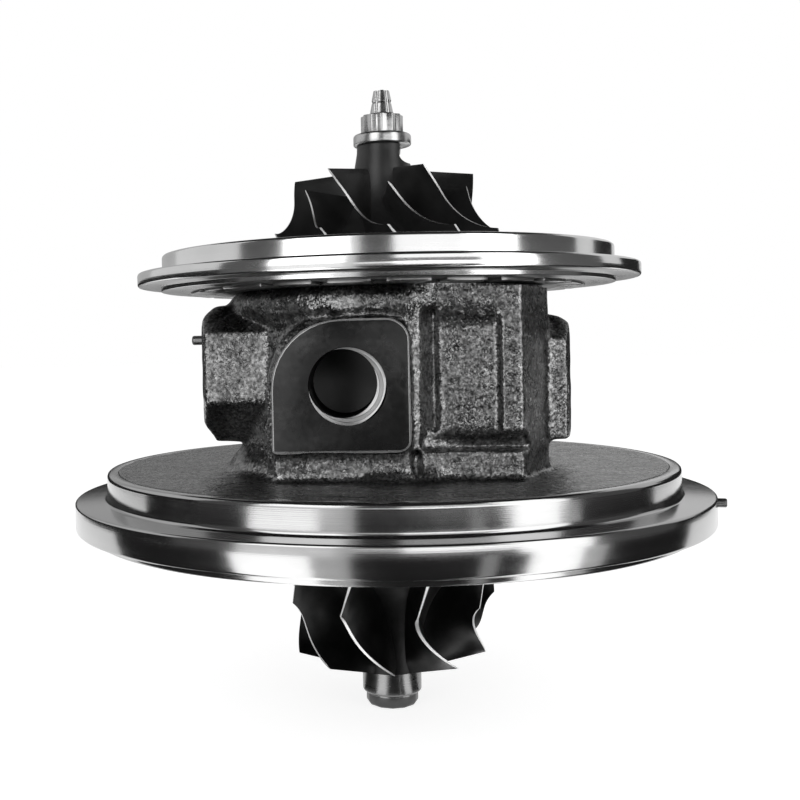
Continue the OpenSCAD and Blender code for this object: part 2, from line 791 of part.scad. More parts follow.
module compressor_backplate() {
    spigot_r = thrust_r - fit_gap;
    groove_r = thrust_r - groove_h;
    groove_z = thrust_top + groove_lip;
    color(aluminium)
        difference() {
            rotate_extrude()
                polygon([
                    [flinger_bore_r, flinger_room_top], [thrust_room_r, flinger_room_top],
                    [thrust_room_r, thrust_top], [spigot_r, thrust_top], [spigot_r, groove_z],
                    [groove_r, groove_z], [groove_r, groove_z + groove_h],
                    [spigot_r, groove_z + groove_h], [spigot_r, housing_top],
                    [boss_r, housing_top], [boss_r, under_step_z],
                    [under_step_r, under_step_z], [under_step_r, plate_z],
                    [plate_r - edge, plate_z], [plate_r, plate_z + edge],
                    [plate_r, plate_shoulder_z - edge], [plate_r - edge, plate_shoulder_z],
                    [plate_pilot_r, plate_shoulder_z], [plate_pilot_r, plate_top - edge],
                    [plate_pilot_r - edge, plate_top], [pocket_r, plate_top],
                    [pocket_r, pocket_floor], [flinger_bore_r, pocket_floor]
                ]);
            for (i = [0 : slot_count - 1])
                rotate(slot_phase - 90 + i * 360 / slot_count)
                    translate([boss_r - slot_length, -slot_w / 2, housing_top - overshoot])
                        cube([slot_length + overshoot, slot_w, under_step_z - housing_top + overshoot]);
            for (angle = screw_angles)
                rotate(angle)
                    translate([screw_circle_r, 0, 0]) {
                        post(screw_r + free_gap / 2, housing_top - overshoot, boss_h + plate_top);
                        translate([0, 0, pocket_floor - screw_head_h])
                            cylinder(r1 = screw_r + fit_gap, r2 = screw_head_r + fit_gap, h = screw_head_h);
                    }
        }
}

// Countersunk screws that hold the backplate, heads flush under the compressor wheel
module backplate_screws() {
    drive_r = screw_r / 2;
    drive_h = screw_head_h;
    color(dull_steel)
        for (angle = screw_angles)
            rotate(angle)
                translate([screw_circle_r, 0, pocket_floor])
                    difference() {
                        union() {
                            translate([0, 0, -screw_head_h])
                                cylinder(r1 = screw_r, r2 = screw_head_r, h = screw_head_h);
                            translate([0, 0, -screw_length]) cylinder(r = screw_r, h = screw_length);
                        }
                        translate([0, 0, -drive_h]) cylinder(r = drive_r, h = drive_h + overshoot, $fn = 6);
                    }
}

module backplate_o_ring() {
    section_r = o_ring_d / 2;
    color(black_rubber)
        translate([0, 0, thrust_top + groove_lip + float_gap + section_r])
            rotate_extrude() translate([thrust_r - section_r - float_gap, 0]) circle(r = section_r);
}

// Bronze plate that carries the rotor's end thrust on six pads a side
module thrust_bearing() {
    pad_count = 6;
    oil_groove_w = 1.2;
    oil_groove_h = 0.4;
    inner_r = collar_sleeve_r + run_gap;
    color(bronze)
        difference() {
            ring(thrust_r - fit_gap, inner_r, thrust_z, thrust_h);
            for (i = [0 : pad_count - 1], z = [thrust_z - overshoot, thrust_top - oil_groove_h])
                rotate((i + 0.5) * 360 / pad_count)
                    translate([inner_r - overshoot, -oil_groove_w / 2, z])
                        cube([thrust_face_r - inner_r + overshoot, oil_groove_w, oil_groove_h + overshoot]);
            for (side = [-1, 1])
                translate([side * thrust_pin_circle_r, 0, 0])
                    post(thrust_pin_r + fit_gap, thrust_z - overshoot, thrust_h + 2 * overshoot);
        }
}

module thrust_bearing_pins() {
    color(dull_steel)
        for (side = [-1, 1])
            translate([side * thrust_pin_circle_r, 0, 0])
                post(thrust_pin_r, thrust_z - pin_hold, pin_hold + thrust_h - float_gap);
}

// Split spring ring that seals a bore round the turning shaft
module piston_ring(bore_r, z) {
    outer = bore_r - fit_gap / 2;
    difference() {
        ring(outer, outer - ring_w, z, ring_h);
        translate([0, -ring_gap / 2, z - overshoot])
            cube([bore_r, ring_gap, ring_h + 2 * overshoot]);
    }
}

module compressor_seal_ring() {
    color(dull_steel) piston_ring(flinger_bore_r, comp_ring_z);
}

module turbine_seal_ring() {
    color(dull_steel) piston_ring(land_bore_r, turb_ring_z);
}

// Four split rings in the bearing bore, one at each end of each bush
module bush_snap_rings() {
    outer = bush_bore_r + snap_w / 2;
    color(dull_steel)
        for (z = snap_zs)
            difference() {
                ring(outer, outer - snap_w, z, snap_h);
                translate([0, -snap_w, z - overshoot]) cube([outer, 2 * snap_w, snap_h + 2 * overshoot]);
            }
}

// Dished sheet between the turbine wheel and the nose
module heat_shield() {
    hole_gap = 1.2;
    lip_w = 5;
    hole_r = land_r + hole_gap;
    flat_z = -nose_drop - shield_t;
    lip_r = shield_r - lip_w;
    color(dull_steel)
        rotate_extrude()
            polygon([
                [hole_r, flat_z - shield_t], [shield_flat_r, flat_z - shield_t],
                [lip_r + shield_t, floor_rise - shield_t], [shield_r, floor_rise - shield_t],
                [shield_r, floor_rise], [lip_r, floor_rise],
                [shield_flat_r - shield_t / 2, flat_z], [hole_r, flat_z]
            ]);
}

module housing_dowel_pin() {
    color(dull_steel)
        translate([pin_hold - left_reach, 0, dowel_z])
            rotate([0, -90, 0]) cylinder(r = dowel_r, h = pin_hold + dowel_out);
}

module flange_locating_pin() {
    color(dull_steel)
        rotate(rim_pin_angle)
            translate([flange_r - pin_hold, 0, rim_pin_z])
                rotate([0, 90, 0]) cylinder(r = rim_pin_r, h = pin_hold + rim_pin_out);
}

// Floating bronze bush with an oil groove and four oil holes
module floating_bush(z) {
    oil_groove_h = 2 * oilway_r;
    oil_groove_depth = 0.3;
    oil_groove_r = bush_r - oil_groove_depth;
    hole_r = oilway_r / 2;
    difference() {
        ring(bush_r, journal_r + run_gap, z, bush_h);
        ring(bush_r + overshoot, oil_groove_r, z + (bush_h - oil_groove_h) / 2, oil_groove_h);
        for (angle = [0, 90])
            translate([0, 0, z + bush_h / 2])
                rotate([90, 0, angle]) cylinder(r = hole_r, h = 3 * bush_r, center = true);
    }
}

module turbine_side_bush() {
    color(bronze) floating_bush(turb_bush_z);
}

module compressor_side_bush() {
    color(bronze) floating_bush(comp_bush_z);
}

// Steel shaft, welded to the turbine wheel, with its drive flutes above the nut
module rotor_shaft() {
    groove_r = land_bore_r - ring_w - 2 * float_gap;
    land_cone = 1;
    thread_relief = 0.35;
    thread_over = 0.3;
    notch = 0.3;
    flutes = 6;
    flute_r = 0.4;
    stub_r = thread_r - thread_relief;
    stub_z = nut_top + thread_over;
    stub_h = shaft_top - stub_z;
    notch_z = stub_z + stub_h / 2;
    notch_r = (stub_r + tip_r) / 2;
    color(bright_steel)
        difference() {
            rotate_extrude()
                polygon([
                    [0, weld_z], [land_r, weld_z],
                    [land_r, turb_ring_z - float_gap], [groove_r, turb_ring_z - float_gap],
                    [groove_r, turb_ring_z + ring_h + float_gap],
                    [land_r, turb_ring_z + ring_h + float_gap],
                    [land_r, land_top], [journal_r + land_cone, land_top + land_cone],
                    [journal_r, land_top + 2 * land_cone],
                    [journal_r, waist_bottom], [waist_r, waist_bottom + edge],
                    [waist_r, waist_top - edge], [journal_r, waist_top],
                    [journal_r, collar_seat], [spindle_r, collar_seat],
                    [spindle_r, comp_nose - edge], [thread_r, comp_nose - edge],
                    [thread_r, stub_z - edge / 2], [stub_r, stub_z],
                    [notch_r, notch_z - notch], [notch_r - notch / 2, notch_z],
                    [notch_r, notch_z + notch], [tip_r, shaft_top], [0, shaft_top]
                ]);
            for (i = [0 : flutes - 1])
                rotate(i * 360 / flutes)
                    translate([stub_r + flute_r / 4, 0, stub_z])
                        rotate([0, -atan2(stub_r - tip_r, stub_h), 0])
                            cylinder(r = flute_r, h = stub_h + overshoot);
        }
}

// Hub outline of the turbine, from the back disc (0) to the outlet (1)
function turb_hub(m) = [
    turb_r - edge - (turb_r - edge - turb_hub_r) * cos(90 * (1 - m)),
    turb_hub_end + (turb_back - turb_hub_end) * sin(90 * (1 - m))
];

// Tip outline of the turbine blades, from the inlet (0) to the outlet (1), with a slight waist
function turb_tip(m) =
    let (waist = 0.15, flare_power = 6, waist_r = turb_out_r - waist)
    [
        waist_r + (turb_r - waist_r) * pow(1 - m, flare_power) + waist * m,
        turb_tip_bottom + (turb_tip_end - turb_tip_bottom) * m
    ];

module turbine_blade() {
    lean = 7;
    hub_t = 1.3;
    tip_t = 0.6;
    blade([for (i = [0 : blade_steps])
        let (
            m = i / blade_steps,
            angle = turb_wrap * pow(m, 2),
            tip = turb_tip(m),
            hub = m == 0 ? [tip.x, turb_back] : turb_hub(m)
        )
        section(hub, tip, angle + lean * (1 - m), angle, hub_t, tip_t)]);
}

// Cast wheel with a twelve-sided boss at its outlet end
module turbine_wheel() {
    boss_sides = 12;
    boss_end_r = turb_hub_r - edge;
    color(black_wheel) {
        rotate_extrude()
            polygon(concat(
                [[0, weld_z], [weld_r, weld_z], [weld_r, turb_back + 2 * turb_disc_h]],
                [[turb_r - edge, turb_back + turb_disc_h]],
                [for (i = [0 : curve_steps]) turb_hub(i / curve_steps)],
                [[turb_hub_r, turb_shoulder], [boss_end_r, turb_shoulder - edge], [0, turb_shoulder - edge]]
            ));
        translate([0, 0, turb_end])
            cylinder(r = boss_end_r, h = turb_boss_h + edge, $fn = boss_sides);
        for (i = [0 : turb_blades - 1])
            rotate(turb_phase + i * 360 / turb_blades) turbine_blade();
    }
}

// Lower thrust face with the sleeve that runs through the thrust bearing
module thrust_collar() {
    bore_r = spindle_r + fit_gap;
    color(bright_steel)
        rotate_extrude()
            polygon([
                [bore_r, collar_seat], [thrust_face_r, collar_seat],
                [thrust_face_r, collar_seat + collar_face_h],
                [collar_sleeve_r, collar_seat + collar_face_h],
                [collar_sleeve_r, collar_top], [bore_r, collar_top]
            ]);
}

// Upper thrust face with the sleeve that carries the compressor seal ring
module oil_flinger() {
    bore_r = spindle_r + fit_gap;
    groove_r = flinger_bore_r - ring_w - 2 * float_gap;
    color(bright_steel)
        rotate_extrude()
            polygon([
                [bore_r, collar_top], [thrust_face_r, collar_top],
                [thrust_face_r, flinger_face_top], [flinger_r, flinger_face_top],
                [flinger_r, comp_ring_z - float_gap], [groove_r, comp_ring_z - float_gap],
                [groove_r, comp_ring_z + ring_h + float_gap],
                [flinger_r, comp_ring_z + ring_h + float_gap],
                [flinger_r, flinger_top], [bore_r, flinger_top]
            ]);
}

// Hub outline of the compressor, from the inlet (0) to the outlet (1)
function comp_hub(m) =
    let (root_step = 0.6, root_r = comp_nose_r + root_step)
    [
        comp_out_r - (comp_out_r - root_r) * cos(90 * m),
        comp_hub_start - (comp_hub_start - comp_floor) * sin(90 * m)
    ];

// Tip outline of the compressor blades: straight down from the inlet, then out to the outlet
function comp_tip(m) =
    let (straight = 0.3, turn = 90 * (m - straight) / (1 - straight))
    m < straight
        ? [comp_in_r, comp_inlet - (comp_inlet - comp_bend) * m / straight]
        : [
            comp_out_r - (comp_out_r - comp_in_r) * cos(turn),
            comp_bend - (comp_bend - comp_outlet) * sin(turn)
        ];

// A blade that starts part of the way down the wheel, 0 for a full one
module compressor_blade(start) {
    hub_t = 1;
    tip_t = 0.45;
    trim = 0.995;
    blade([for (i = [0 : blade_steps])
        let (m = start + (trim - start) * i / blade_steps, angle = comp_wrap * m)
        section(comp_hub(m), comp_tip(m), angle, angle, hub_t, tip_t)]);
}

// Balancing cut: a bite that a round cutter takes out of the nose, under the nut
module balance_cut() {
    cutter_r = 1.6;
    cut_drop = 1.9;
    wall = 0.3;
    cutter_x = spindle_r + fit_gap + wall + cutter_r;
    translate([0, 2 * comp_nose_r, 0])
        forward(4 * comp_nose_r)
            polygon(concat(
                arc([cutter_x, comp_nose - cut_drop], cutter_r, 180, 360),
                [[cutter_x + cutter_r, comp_nose + overshoot], [cutter_x - cutter_r, comp_nose + overshoot]]
            ));
}

module compressor_wheel() {
    color(black_wheel)
        difference() {
            union() {
                rotate_extrude()
                    polygon(concat(
                        [[0, comp_back], [comp_out_r, comp_back]],
                        [for (i = [curve_steps : -1 : 0]) comp_hub(i / curve_steps)],
                        [[comp_nose_r, comp_nose - edge], [comp_nose_r, comp_nose], [0, comp_nose]]
                    ));
                for (i = [0 : comp_blades - 1])
                    rotate(comp_phase + i * 360 / comp_blades) {
                        compressor_blade(0);
                        rotate(180 / comp_blades) compressor_blade(comp_split);
                    }
            }
            post(spindle_r + fit_gap, comp_back - overshoot, comp_length + 2 * overshoot);
            balance_cut();
        }
}

// Twelve-point nut with a flange
module compressor_nut() {
    color(bright_steel)
        translate([0, 0, comp_nose])
            difference() {
                union() {
                    rotate_extrude()
                        polygon([
                            [0, 0], [nut_flange_r - edge, 0], [nut_flange_r, edge],
                            [nut_flange_r, nut_flange_h - edge], [nut_flange_r - edge, nut_flange_h],
                            [0, nut_flange_h]
                        ]);
                    for (turn = [0, 30])
                        rotate(turn)
                            translate([0, 0, edge])
                                cylinder(r = nut_r, h = nut_flange_h + nut_h - edge, $fn = 6);
                }
                translate([0, 0, -overshoot])
                    cylinder(r = thread_r + fit_gap, h = nut_flange_h + nut_h + 2 * overshoot);
            }
}

bearing_housing();
turbine_flange();
compressor_backplate();
backplate_screws();
backplate_o_ring();
thrust_bearing();
thrust_bearing_pins();
compressor_seal_ring();
turbine_seal_ring();
bush_snap_rings();
heat_shield();
housing_dowel_pin();
flange_locating_pin();
turbine_side_bush();
compressor_side_bush();
rotor_shaft();
turbine_wheel();
thrust_collar();
oil_flinger();
compressor_wheel();
compressor_nut();
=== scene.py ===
import math

import bmesh
import bpy
from mathutils import Matrix, Vector


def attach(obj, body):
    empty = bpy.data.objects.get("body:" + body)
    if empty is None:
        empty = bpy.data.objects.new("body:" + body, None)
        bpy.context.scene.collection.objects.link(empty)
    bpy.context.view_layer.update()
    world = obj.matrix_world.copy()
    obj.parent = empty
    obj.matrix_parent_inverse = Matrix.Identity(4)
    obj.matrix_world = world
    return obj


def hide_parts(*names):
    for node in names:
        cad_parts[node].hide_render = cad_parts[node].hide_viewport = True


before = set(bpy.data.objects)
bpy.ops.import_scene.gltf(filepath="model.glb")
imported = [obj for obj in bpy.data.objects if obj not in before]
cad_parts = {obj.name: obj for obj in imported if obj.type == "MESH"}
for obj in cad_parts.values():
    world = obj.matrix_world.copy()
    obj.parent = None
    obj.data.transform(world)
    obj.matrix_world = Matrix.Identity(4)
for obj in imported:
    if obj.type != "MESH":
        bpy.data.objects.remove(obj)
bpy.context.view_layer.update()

# Bearing housing, the casting. Grey iron poured in a sand mould, so every corner is soft and the
# skin is grainy. It is made as the real one is: a rough blank with stock on the faces that get
# machined, which is then planed, bored and drilled.
mm = 0.001
housing_top, block_top, collar_r = 40.4, 39.8, 28.0
pad_reach = 29.4
drain_reach = 29.0
step_top, casting_foot, casting_r = 9.5, 8.2, 48.4
stock, overlap = 2.0, 1.0
base_reach, base_slope, base_right, base_top = 25.4, 2.2, -17.9, 35.2
collar_inside = 26.0
milled_from = 13.0
voxel, near = 0.5, 0.01
bush_bore_r, thrust_room_r, spigot_bore_r = 6.05, 10.0, 15.02
thrust_room_z, spigot_bore_z = 32.85, 35.2
feed_x, feed_z = -6.1, 24.6
feed_drill_r, feed_depth = 6.15, 13.0
drain_z = 24.0
drain_r, drain_depth = 7.0, 12.0
drain_bolt_gap, drain_bolt_r, drain_bolt_depth = 32.0, 2.5, 11.0


def new_finish(name, metallic, roughness):
    """A material whose shader waits for its nodes."""
    finish = bpy.data.materials.new(name)
    finish.use_nodes = True
    shader = finish.node_tree.nodes["Principled BSDF"]
    shader.inputs["Metallic"].default_value = metallic
    shader.inputs["Roughness"].default_value = roughness
    return finish


def wire(finish, kind, inputs, output=0, **settings):
    """Adds a node, sets it up and gives back one of its outputs."""
    node = finish.node_tree.nodes.new(kind)
    for name, value in settings.items():
        setattr(node, name, value)
    for name, value in inputs.items():
        if isinstance(value, bpy.types.NodeSocket):
            finish.node_tree.links.new(value, node.inputs[name])
        else:
            node.inputs[name].default_value = value
    return node.outputs[output]


def noise(finish, place, size_mm, detail):
    """Noise with features of about the given size."""
    return wire(finish, "ShaderNodeTexNoise", {"Vector": place, "Scale": 1000 / size_mm, "Detail": detail})


def spread(finish, value, low, high):
    """Takes the middle half of a noise to a range of values."""
    limits = {"Value": value, "From Min": 0.3, "From Max": 0.7, "To Min": low, "To Max": high}
    return wire(finish, "ShaderNodeMapRange", limits)


def give(finish, **sockets):
    """Links outputs to the shader's sockets."""
    shader = finish.node_tree.nodes["Principled BSDF"]
    for name, value in sockets.items():
        finish.node_tree.links.new(value, shader.inputs[name.replace("_", " ")])


def cast_finish(name, dark, light, grain_mm, tilt):
    """Sandy cast skin: grains tilted at random on soft lumps, with a tone that varies at random."""
    finish = new_finish(name, metallic=1.0, roughness=0.4)
    place = wire(finish, "ShaderNodeTexCoord", {}, output="Object")
    grain_sizes = {"Vector": place, "Scale": 1000 / grain_mm, "Detail": 1.5}
    grains = wire(finish, "ShaderNodeTexNoise", grain_sizes, output="Color")
    tone = noise(finish, place, 2 * grain_mm, 3)
    lumps = noise(finish, place, 7 * grain_mm, 2)
    lump_height = tilt * grain_mm * mm
    skin = wire(finish, "ShaderNodeBump", {"Strength": 1.0, "Distance": lump_height, "Height": lumps})
    lean = wire(finish, "ShaderNodeVectorMath", {0: grains, 1: (0.5, 0.5, 0.5)}, operation="SUBTRACT")
    tilted = wire(
        finish, "ShaderNodeVectorMath", {0: lean, 1: (tilt, tilt, tilt), 2: skin}, operation="MULTIPLY_ADD",
    )
    give(
        finish,
        Normal=wire(finish, "ShaderNodeVectorMath", {0: tilted}, operation="NORMALIZE"),
        Base_Color=spread(finish, tone, dark, light),
        Roughness=spread(finish, lumps, 0.22, 0.32),
    )
    return finish


def ring_place(finish):
    """Coordinates that change only with radius and height, for marks that run round the shaft axis."""
    place = wire(finish, "ShaderNodeTexCoord", {}, output="Object")
    flat = wire(finish, "ShaderNodeVectorMath", {0: place, 1: (1, 1, 0)}, operation="MULTIPLY")
    radius = wire(finish, "ShaderNodeVectorMath", {0: flat}, output="Value", operation="LENGTH")
    height = wire(finish, "ShaderNodeSeparateXYZ", {0: place}, output="Z")
    return wire(finish, "ShaderNodeCombineXYZ", {0: radius, 2: height})


def turned_finish(name, tone, smooth, rough, line_mm=0.16, depth_mm=0.012):
    """Bare turned metal: fine tool rings, with smears of cleaner and duller metal."""
    finish = new_finish(name, metallic=1.0, roughness=rough)
    place = wire(finish, "ShaderNodeTexCoord", {}, output="Object")
    rings = noise(finish, ring_place(finish), line_mm, 2)
    bands = noise(finish, ring_place(finish), 8 * line_mm, 2)
    smears = noise(finish, place, 9.0, 3)
    marks = wire(finish, "ShaderNodeBump", {"Strength": 0.6, "Distance": depth_mm * mm, "Height": rings})
    mixed = wire(finish, "ShaderNodeMath", {0: bands, 1: smears}, operation="ADD")
    share = wire(finish, "ShaderNodeMath", {0: mixed, 1: 0.5}, operation="MULTIPLY")
    give(
        finish,
        Normal=marks,
        Base_Color=spread(finish, share, 0.82 * tone, tone),
        Roughness=spread(finish, share, smooth, rough),
    )
    return finish


def put(name, shape, finishes, sharp=35):
    """Makes an object of a bmesh, with smooth faces between its sharp edges."""
    mesh = bpy.data.meshes.new(name)
    shape.to_mesh(mesh)
    shape.free()
    for finish in finishes:
        mesh.materials.append(finish)
    mesh.shade_smooth()
    mesh.set_sharp_from_angle(angle=math.radians(sharp))
    piece = bpy.data.objects.new(name, mesh)
    bpy.context.scene.collection.objects.link(piece)
    return piece


def settle(piece):
    """Applies a piece's modifiers to its mesh."""
    bpy.context.view_layer.update()
    made = piece.evaluated_get(bpy.context.evaluated_depsgraph_get())
    old = piece.data
    piece.data = bpy.data.meshes.new_from_object(made)
    piece.modifiers.clear()
    bpy.data.meshes.remove(old)


def machine(piece, tool, operation):
    """Cuts a piece with a tool, or to a tool's shape. Cut faces get the tool's finish."""
    cut = piece.modifiers.new("cut", "BOOLEAN")
    cut.object = tool
    cut.operation = operation
    cut.solver = "MANIFOLD"
    cut.material_mode = "TRANSFER"
    settle(piece)
    bpy.data.objects.remove(tool)


def turned_shape(outline, steps=144):
    """Spins an outline of radius, height and corner round, in millimetres, about the shaft axis."""
    shape = bmesh.new()
    corners = [shape.verts.new((r * mm, 0, z * mm)) for r, z, _ in outline]
    loop = zip(corners, corners[1:] + corners[:1])
    for one, other in loop:
        if one.co.x > 0 or other.co.x > 0:
            shape.edges.new((one, other))
    for corner, (_, _, rounding) in zip(corners, outline):
        if rounding:
            bmesh.ops.bevel(
                shape, geom=[corner], offset=rounding * mm, affect="VERTICES",
                segments=3, profile=0.5, material=-1,
            )
    bmesh.ops.spin(
        shape, geom=shape.verts[:] + shape.edges[:], cent=(0, 0, 0), axis=(0, 0, 1),
        angle=2 * math.pi, steps=steps, use_merge=True,
    )
    bmesh.ops.remove_doubles(shape, verts=shape.verts, dist=1e-7)
    bmesh.ops.recalc_face_normals(shape, faces=shape.faces)
    return shape


def aim(shape, way, place):
    """Turns a shape's axis from +Z to another way and moves it there, in millimetres."""
    turn = way.to_track_quat("Z", "Y").to_matrix().to_4x4()
    move = Matrix.Translation([mm * value for value in place])
    bmesh.ops.transform(shape, matrix=move @ turn, verts=shape.verts)
    return shape


FORWARD, BACKWARD, UPWARD = Vector((0, -1, 0)), Vector((0, 1, 0)), Vector((0, 0, 1))


def rod(r, length):
    """A plain round bar from the origin up the Z axis."""
    return turned_shape([(0, 0, 0), (r, 0, 0), (r, length, 0), (0, length, 0)], steps=64)


cast_iron = cast_finish("cast_iron_skin", dark=0.07, light=0.38, grain_mm=0.29, tilt=1.0)
machined_iron = turned_finish("machined_iron", tone=0.34, smooth=0.22, rough=0.34)
# Drilled holes get a near-black tone: painted shade inside the holes.
shaded_bore = turned_finish("shaded_bore", tone=0.03, smooth=0.3, rough=0.42)

blank = bmesh.new()
blank.from_mesh(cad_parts["bearing_housing"].data)
for corner in blank.verts:
    if corner.co.z < (step_top + near) * mm:
        corner.co.z -= overlap * mm
    on_block = abs(corner.co.z - block_top * mm) < near * mm
    on_collar = corner.co.z > (housing_top - near) * mm
    if on_block or on_collar:
        corner.co.z += stock * mm
    if on_collar and corner.co.xy.length > collar_inside * mm:
        corner.co.xy -= corner.co.xy.normalized() * stock * mm
    if corner.co.y < (near - pad_reach) * mm:
        corner.co.y -= stock * mm
    if corner.co.y > (drain_reach - near) * mm:
        corner.co.y += stock * mm
    if abs(corner.co.y + base_reach * mm) < near * mm:
        if corner.co.x < base_right * mm or corner.co.z > base_top * mm:
            corner.co.y += base_slope * mm
blank.from_mesh(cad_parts["turbine_flange"].data)
bmesh.ops.remove_doubles(blank, verts=blank.verts, dist=1e-6)
casting = put("housing_casting", blank, [cast_iron])

skin = casting.modifiers.new("skin", "REMESH")
skin.mode = "VOXEL"
skin.voxel_size = voxel * mm
skin.use_smooth_shade = True
unevenness = bpy.data.textures.new("uneven_mould", "CLOUDS")
unevenness.noise_scale = 4 * mm
lumps = casting.modifiers.new("lumps", "DISPLACE")
lumps.texture = unevenness
lumps.texture_coords = "LOCAL"
lumps.strength = 0.5 * mm
soften = casting.modifiers.new("soften", "SMOOTH")
soften.factor = 0.5
soften.iterations = 9
settle(casting)

limits = bmesh.new()
bmesh.ops.create_cone(
    limits, cap_ends=True, segments=144, radius1=casting_r * mm, radius2=casting_r * mm,
    depth=(housing_top - casting_foot) * mm,
)
bmesh.ops.translate(limits, verts=limits.verts, vec=(0, 0, (housing_top + casting_foot) / 2 * mm))
machine(casting, put("turning_limits", limits, [machined_iron]), "INTERSECT")
facing_tool = turned_shape([
    (collar_r, block_top, 0), (casting_r, block_top, 0),
    (casting_r, housing_top + stock, 0), (collar_r, housing_top + stock, 0),
])
machine(casting, put("facing_tool", facing_tool, [cast_iron]), "DIFFERENCE")
for way, reach in ((FORWARD, pad_reach), (BACKWARD, drain_reach)):
    cutter = bmesh.new()
    bmesh.ops.create_cube(cutter, size=1)
    cutter_size = Vector((2 * casting_r, 2 * casting_r, 2 * (housing_top - milled_from)))
    bmesh.ops.scale(cutter, verts=cutter.verts, vec=cutter_size * mm)
    cutter_place = way * (reach + casting_r) + UPWARD * housing_top
    bmesh.ops.translate(cutter, verts=cutter.verts, vec=cutter_place * mm)
    machine(casting, put("milling_cutter", cutter, [machined_iron]), "DIFFERENCE")

boring_bar = turned_shape([
    (0, 0, 0), (bush_bore_r, 0, 0), (bush_bore_r, thrust_room_z, 0),
    (thrust_room_r, thrust_room_z, 0), (thrust_room_r, spigot_bore_z, 0),
    (spigot_bore_r, spigot_bore_z, 0), (spigot_bore_r, housing_top + stock, 0),
    (0, housing_top + stock, 0),
])
machine(casting, put("boring_bar", boring_bar, [machined_iron]), "DIFFERENCE")
drills = [
    (feed_drill_r, feed_depth + stock, FORWARD, (feed_x, feed_depth + stock - pad_reach, feed_z)),
    (drain_r, drain_depth, BACKWARD, (0, drain_reach - drain_depth, drain_z)),
]
for x in (-drain_bolt_gap / 2, drain_bolt_gap / 2):
    bolt_place = (x, drain_reach - drain_bolt_depth, drain_z)
    drills.append((drain_bolt_r, drain_bolt_depth, BACKWARD, bolt_place))
for r, depth, way, place in drills:
    drill = aim(rod(r, depth + overlap), way, place)
    machine(casting, put("drill", drill, [shaded_bore]), "DIFFERENCE")
casting.data.shade_smooth()
casting.data.set_sharp_from_angle(angle=math.radians(50))
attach(casting, "housing")
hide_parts("bearing_housing")


# Turbine flange, the wide foot of the same casting. Its rim, step, pilot, floor and nose are turned
# bright on a lathe. The casting keeps its rough skin on top of the step, inside a turned border.
flange_r, flange_h = 56.0, 4.8
step_r, step_border, step_draft = 50.4, 1.95, 0.1
pilot_r, pilot_in_r, pilot_drop = 53.2, 50.8, 1.4
nose_r, nose_drop, floor_rise = 12.5, 4.2, 0.6
relief_w, relief_h = 0.4, 0.25
seal_bore_r, oil_room_r, oil_room_low, oil_room_top = 7.45, 11.0, 4.0, 7.4

turned_iron = turned_finish(
    "turned_iron", tone=0.52, smooth=0.11, rough=0.19, line_mm=0.2, depth_mm=0.008,
)
flange = turned_shape([
    (seal_bore_r, -nose_drop, 0.2), (nose_r, -nose_drop, 0.5), (nose_r, floor_rise, 0.4),
    (pilot_in_r, floor_rise, 0.3), (pilot_in_r, -pilot_drop, 0.2), (pilot_r, -pilot_drop, 0.3),
    (pilot_r, relief_h, 0.1), (pilot_r + relief_w, relief_h, 0.1), (pilot_r + relief_w, 0, 0.05),
    (flange_r, 0, 0.45), (flange_r, flange_h, 0.4), (step_r + step_draft, flange_h, 0.5),
    (step_r + 0.8 * step_draft, flange_h + 0.8, 0), (step_r + 0.2 * step_draft, step_top - 0.9, 0),
    (step_r, step_top, 0.6), (step_r - step_border, step_top, 0.15),
    (step_r - step_border, casting_foot, 0), (bush_bore_r, casting_foot, 0),
    (bush_bore_r, oil_room_top, 0), (oil_room_r, oil_room_top, 0),
    (oil_room_r, oil_room_low, 0), (seal_bore_r, oil_room_low, 0),
], steps=192)
flange = put("housing_flange", flange, [turned_iron])
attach(flange, "housing")
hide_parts("turbine_flange")


# Oil feed pad: the milled face on the front of the housing, with a thin broken edge that shines, and
# the tapped hole for the banjo bolt. The countersunk mouth is a little off the thread's centre.
pad_left, pad_right, pad_low, pad_top = -18.05, 3.65, 14.3, 35.1
pad_corners = (
    (pad_left, pad_low, 0.5), (pad_right, pad_low, 1.8),
    (pad_right, pad_top, 3.6), (pad_left, pad_top, 11.0),
)
pad_thickness, broken_edge, proud = 1.6, 0.3, 0.03
thread_r, thread_root_r, pitch = 5.4, 5.95, 1.25
thread_lead, thread_flank, thread_flat, thread_end = 0.6, 0.5, 0.15, 2.0
thread_wall_r, bottom_cone, bottom_wall = feed_drill_r + 0.6, 1.6, 0.2
off_left, off_up, sink_depth, sink_r = 0.75, 0.45, 0.6, 4.2
sink_line = 0.06


def pad_face(corners, back, front, edge):
    """A flat pad with rounded corners, facing the front's side; its edge takes the second finish."""
    shape = bmesh.new()
    points = [shape.verts.new((x * mm, back * mm, z * mm)) for x, z, _ in corners]
    shape.faces.new(points)
    for point, (_, _, rounding) in zip(points, corners):
        bmesh.ops.bevel(
            shape, geom=[point], offset=rounding * mm, affect="VERTICES",
            segments=10, profile=0.5, material=-1,
        )
    grown = bmesh.ops.extrude_face_region(shape, geom=shape.faces[:], use_keep_orig=True)["geom"]
    moved = [v for v in grown if isinstance(v, bmesh.types.BMVert)]
    bmesh.ops.translate(shape, verts=moved, vec=(0, (front - back) * mm, 0))
    rim = [e for e in shape.edges if all(abs(v.co.y - front * mm) < 1e-7 for v in e.verts)]
    bmesh.ops.recalc_face_normals(shape, faces=shape.faces)
    bmesh.ops.bevel(
        shape, geom=rim, offset=edge * mm, affect="EDGES", segments=2, profile=0.5, material=-1,
    )
    for side in shape.faces:
        side.material_index = 0 if abs(side.normal.y) > 0.99 else 1
    return shape
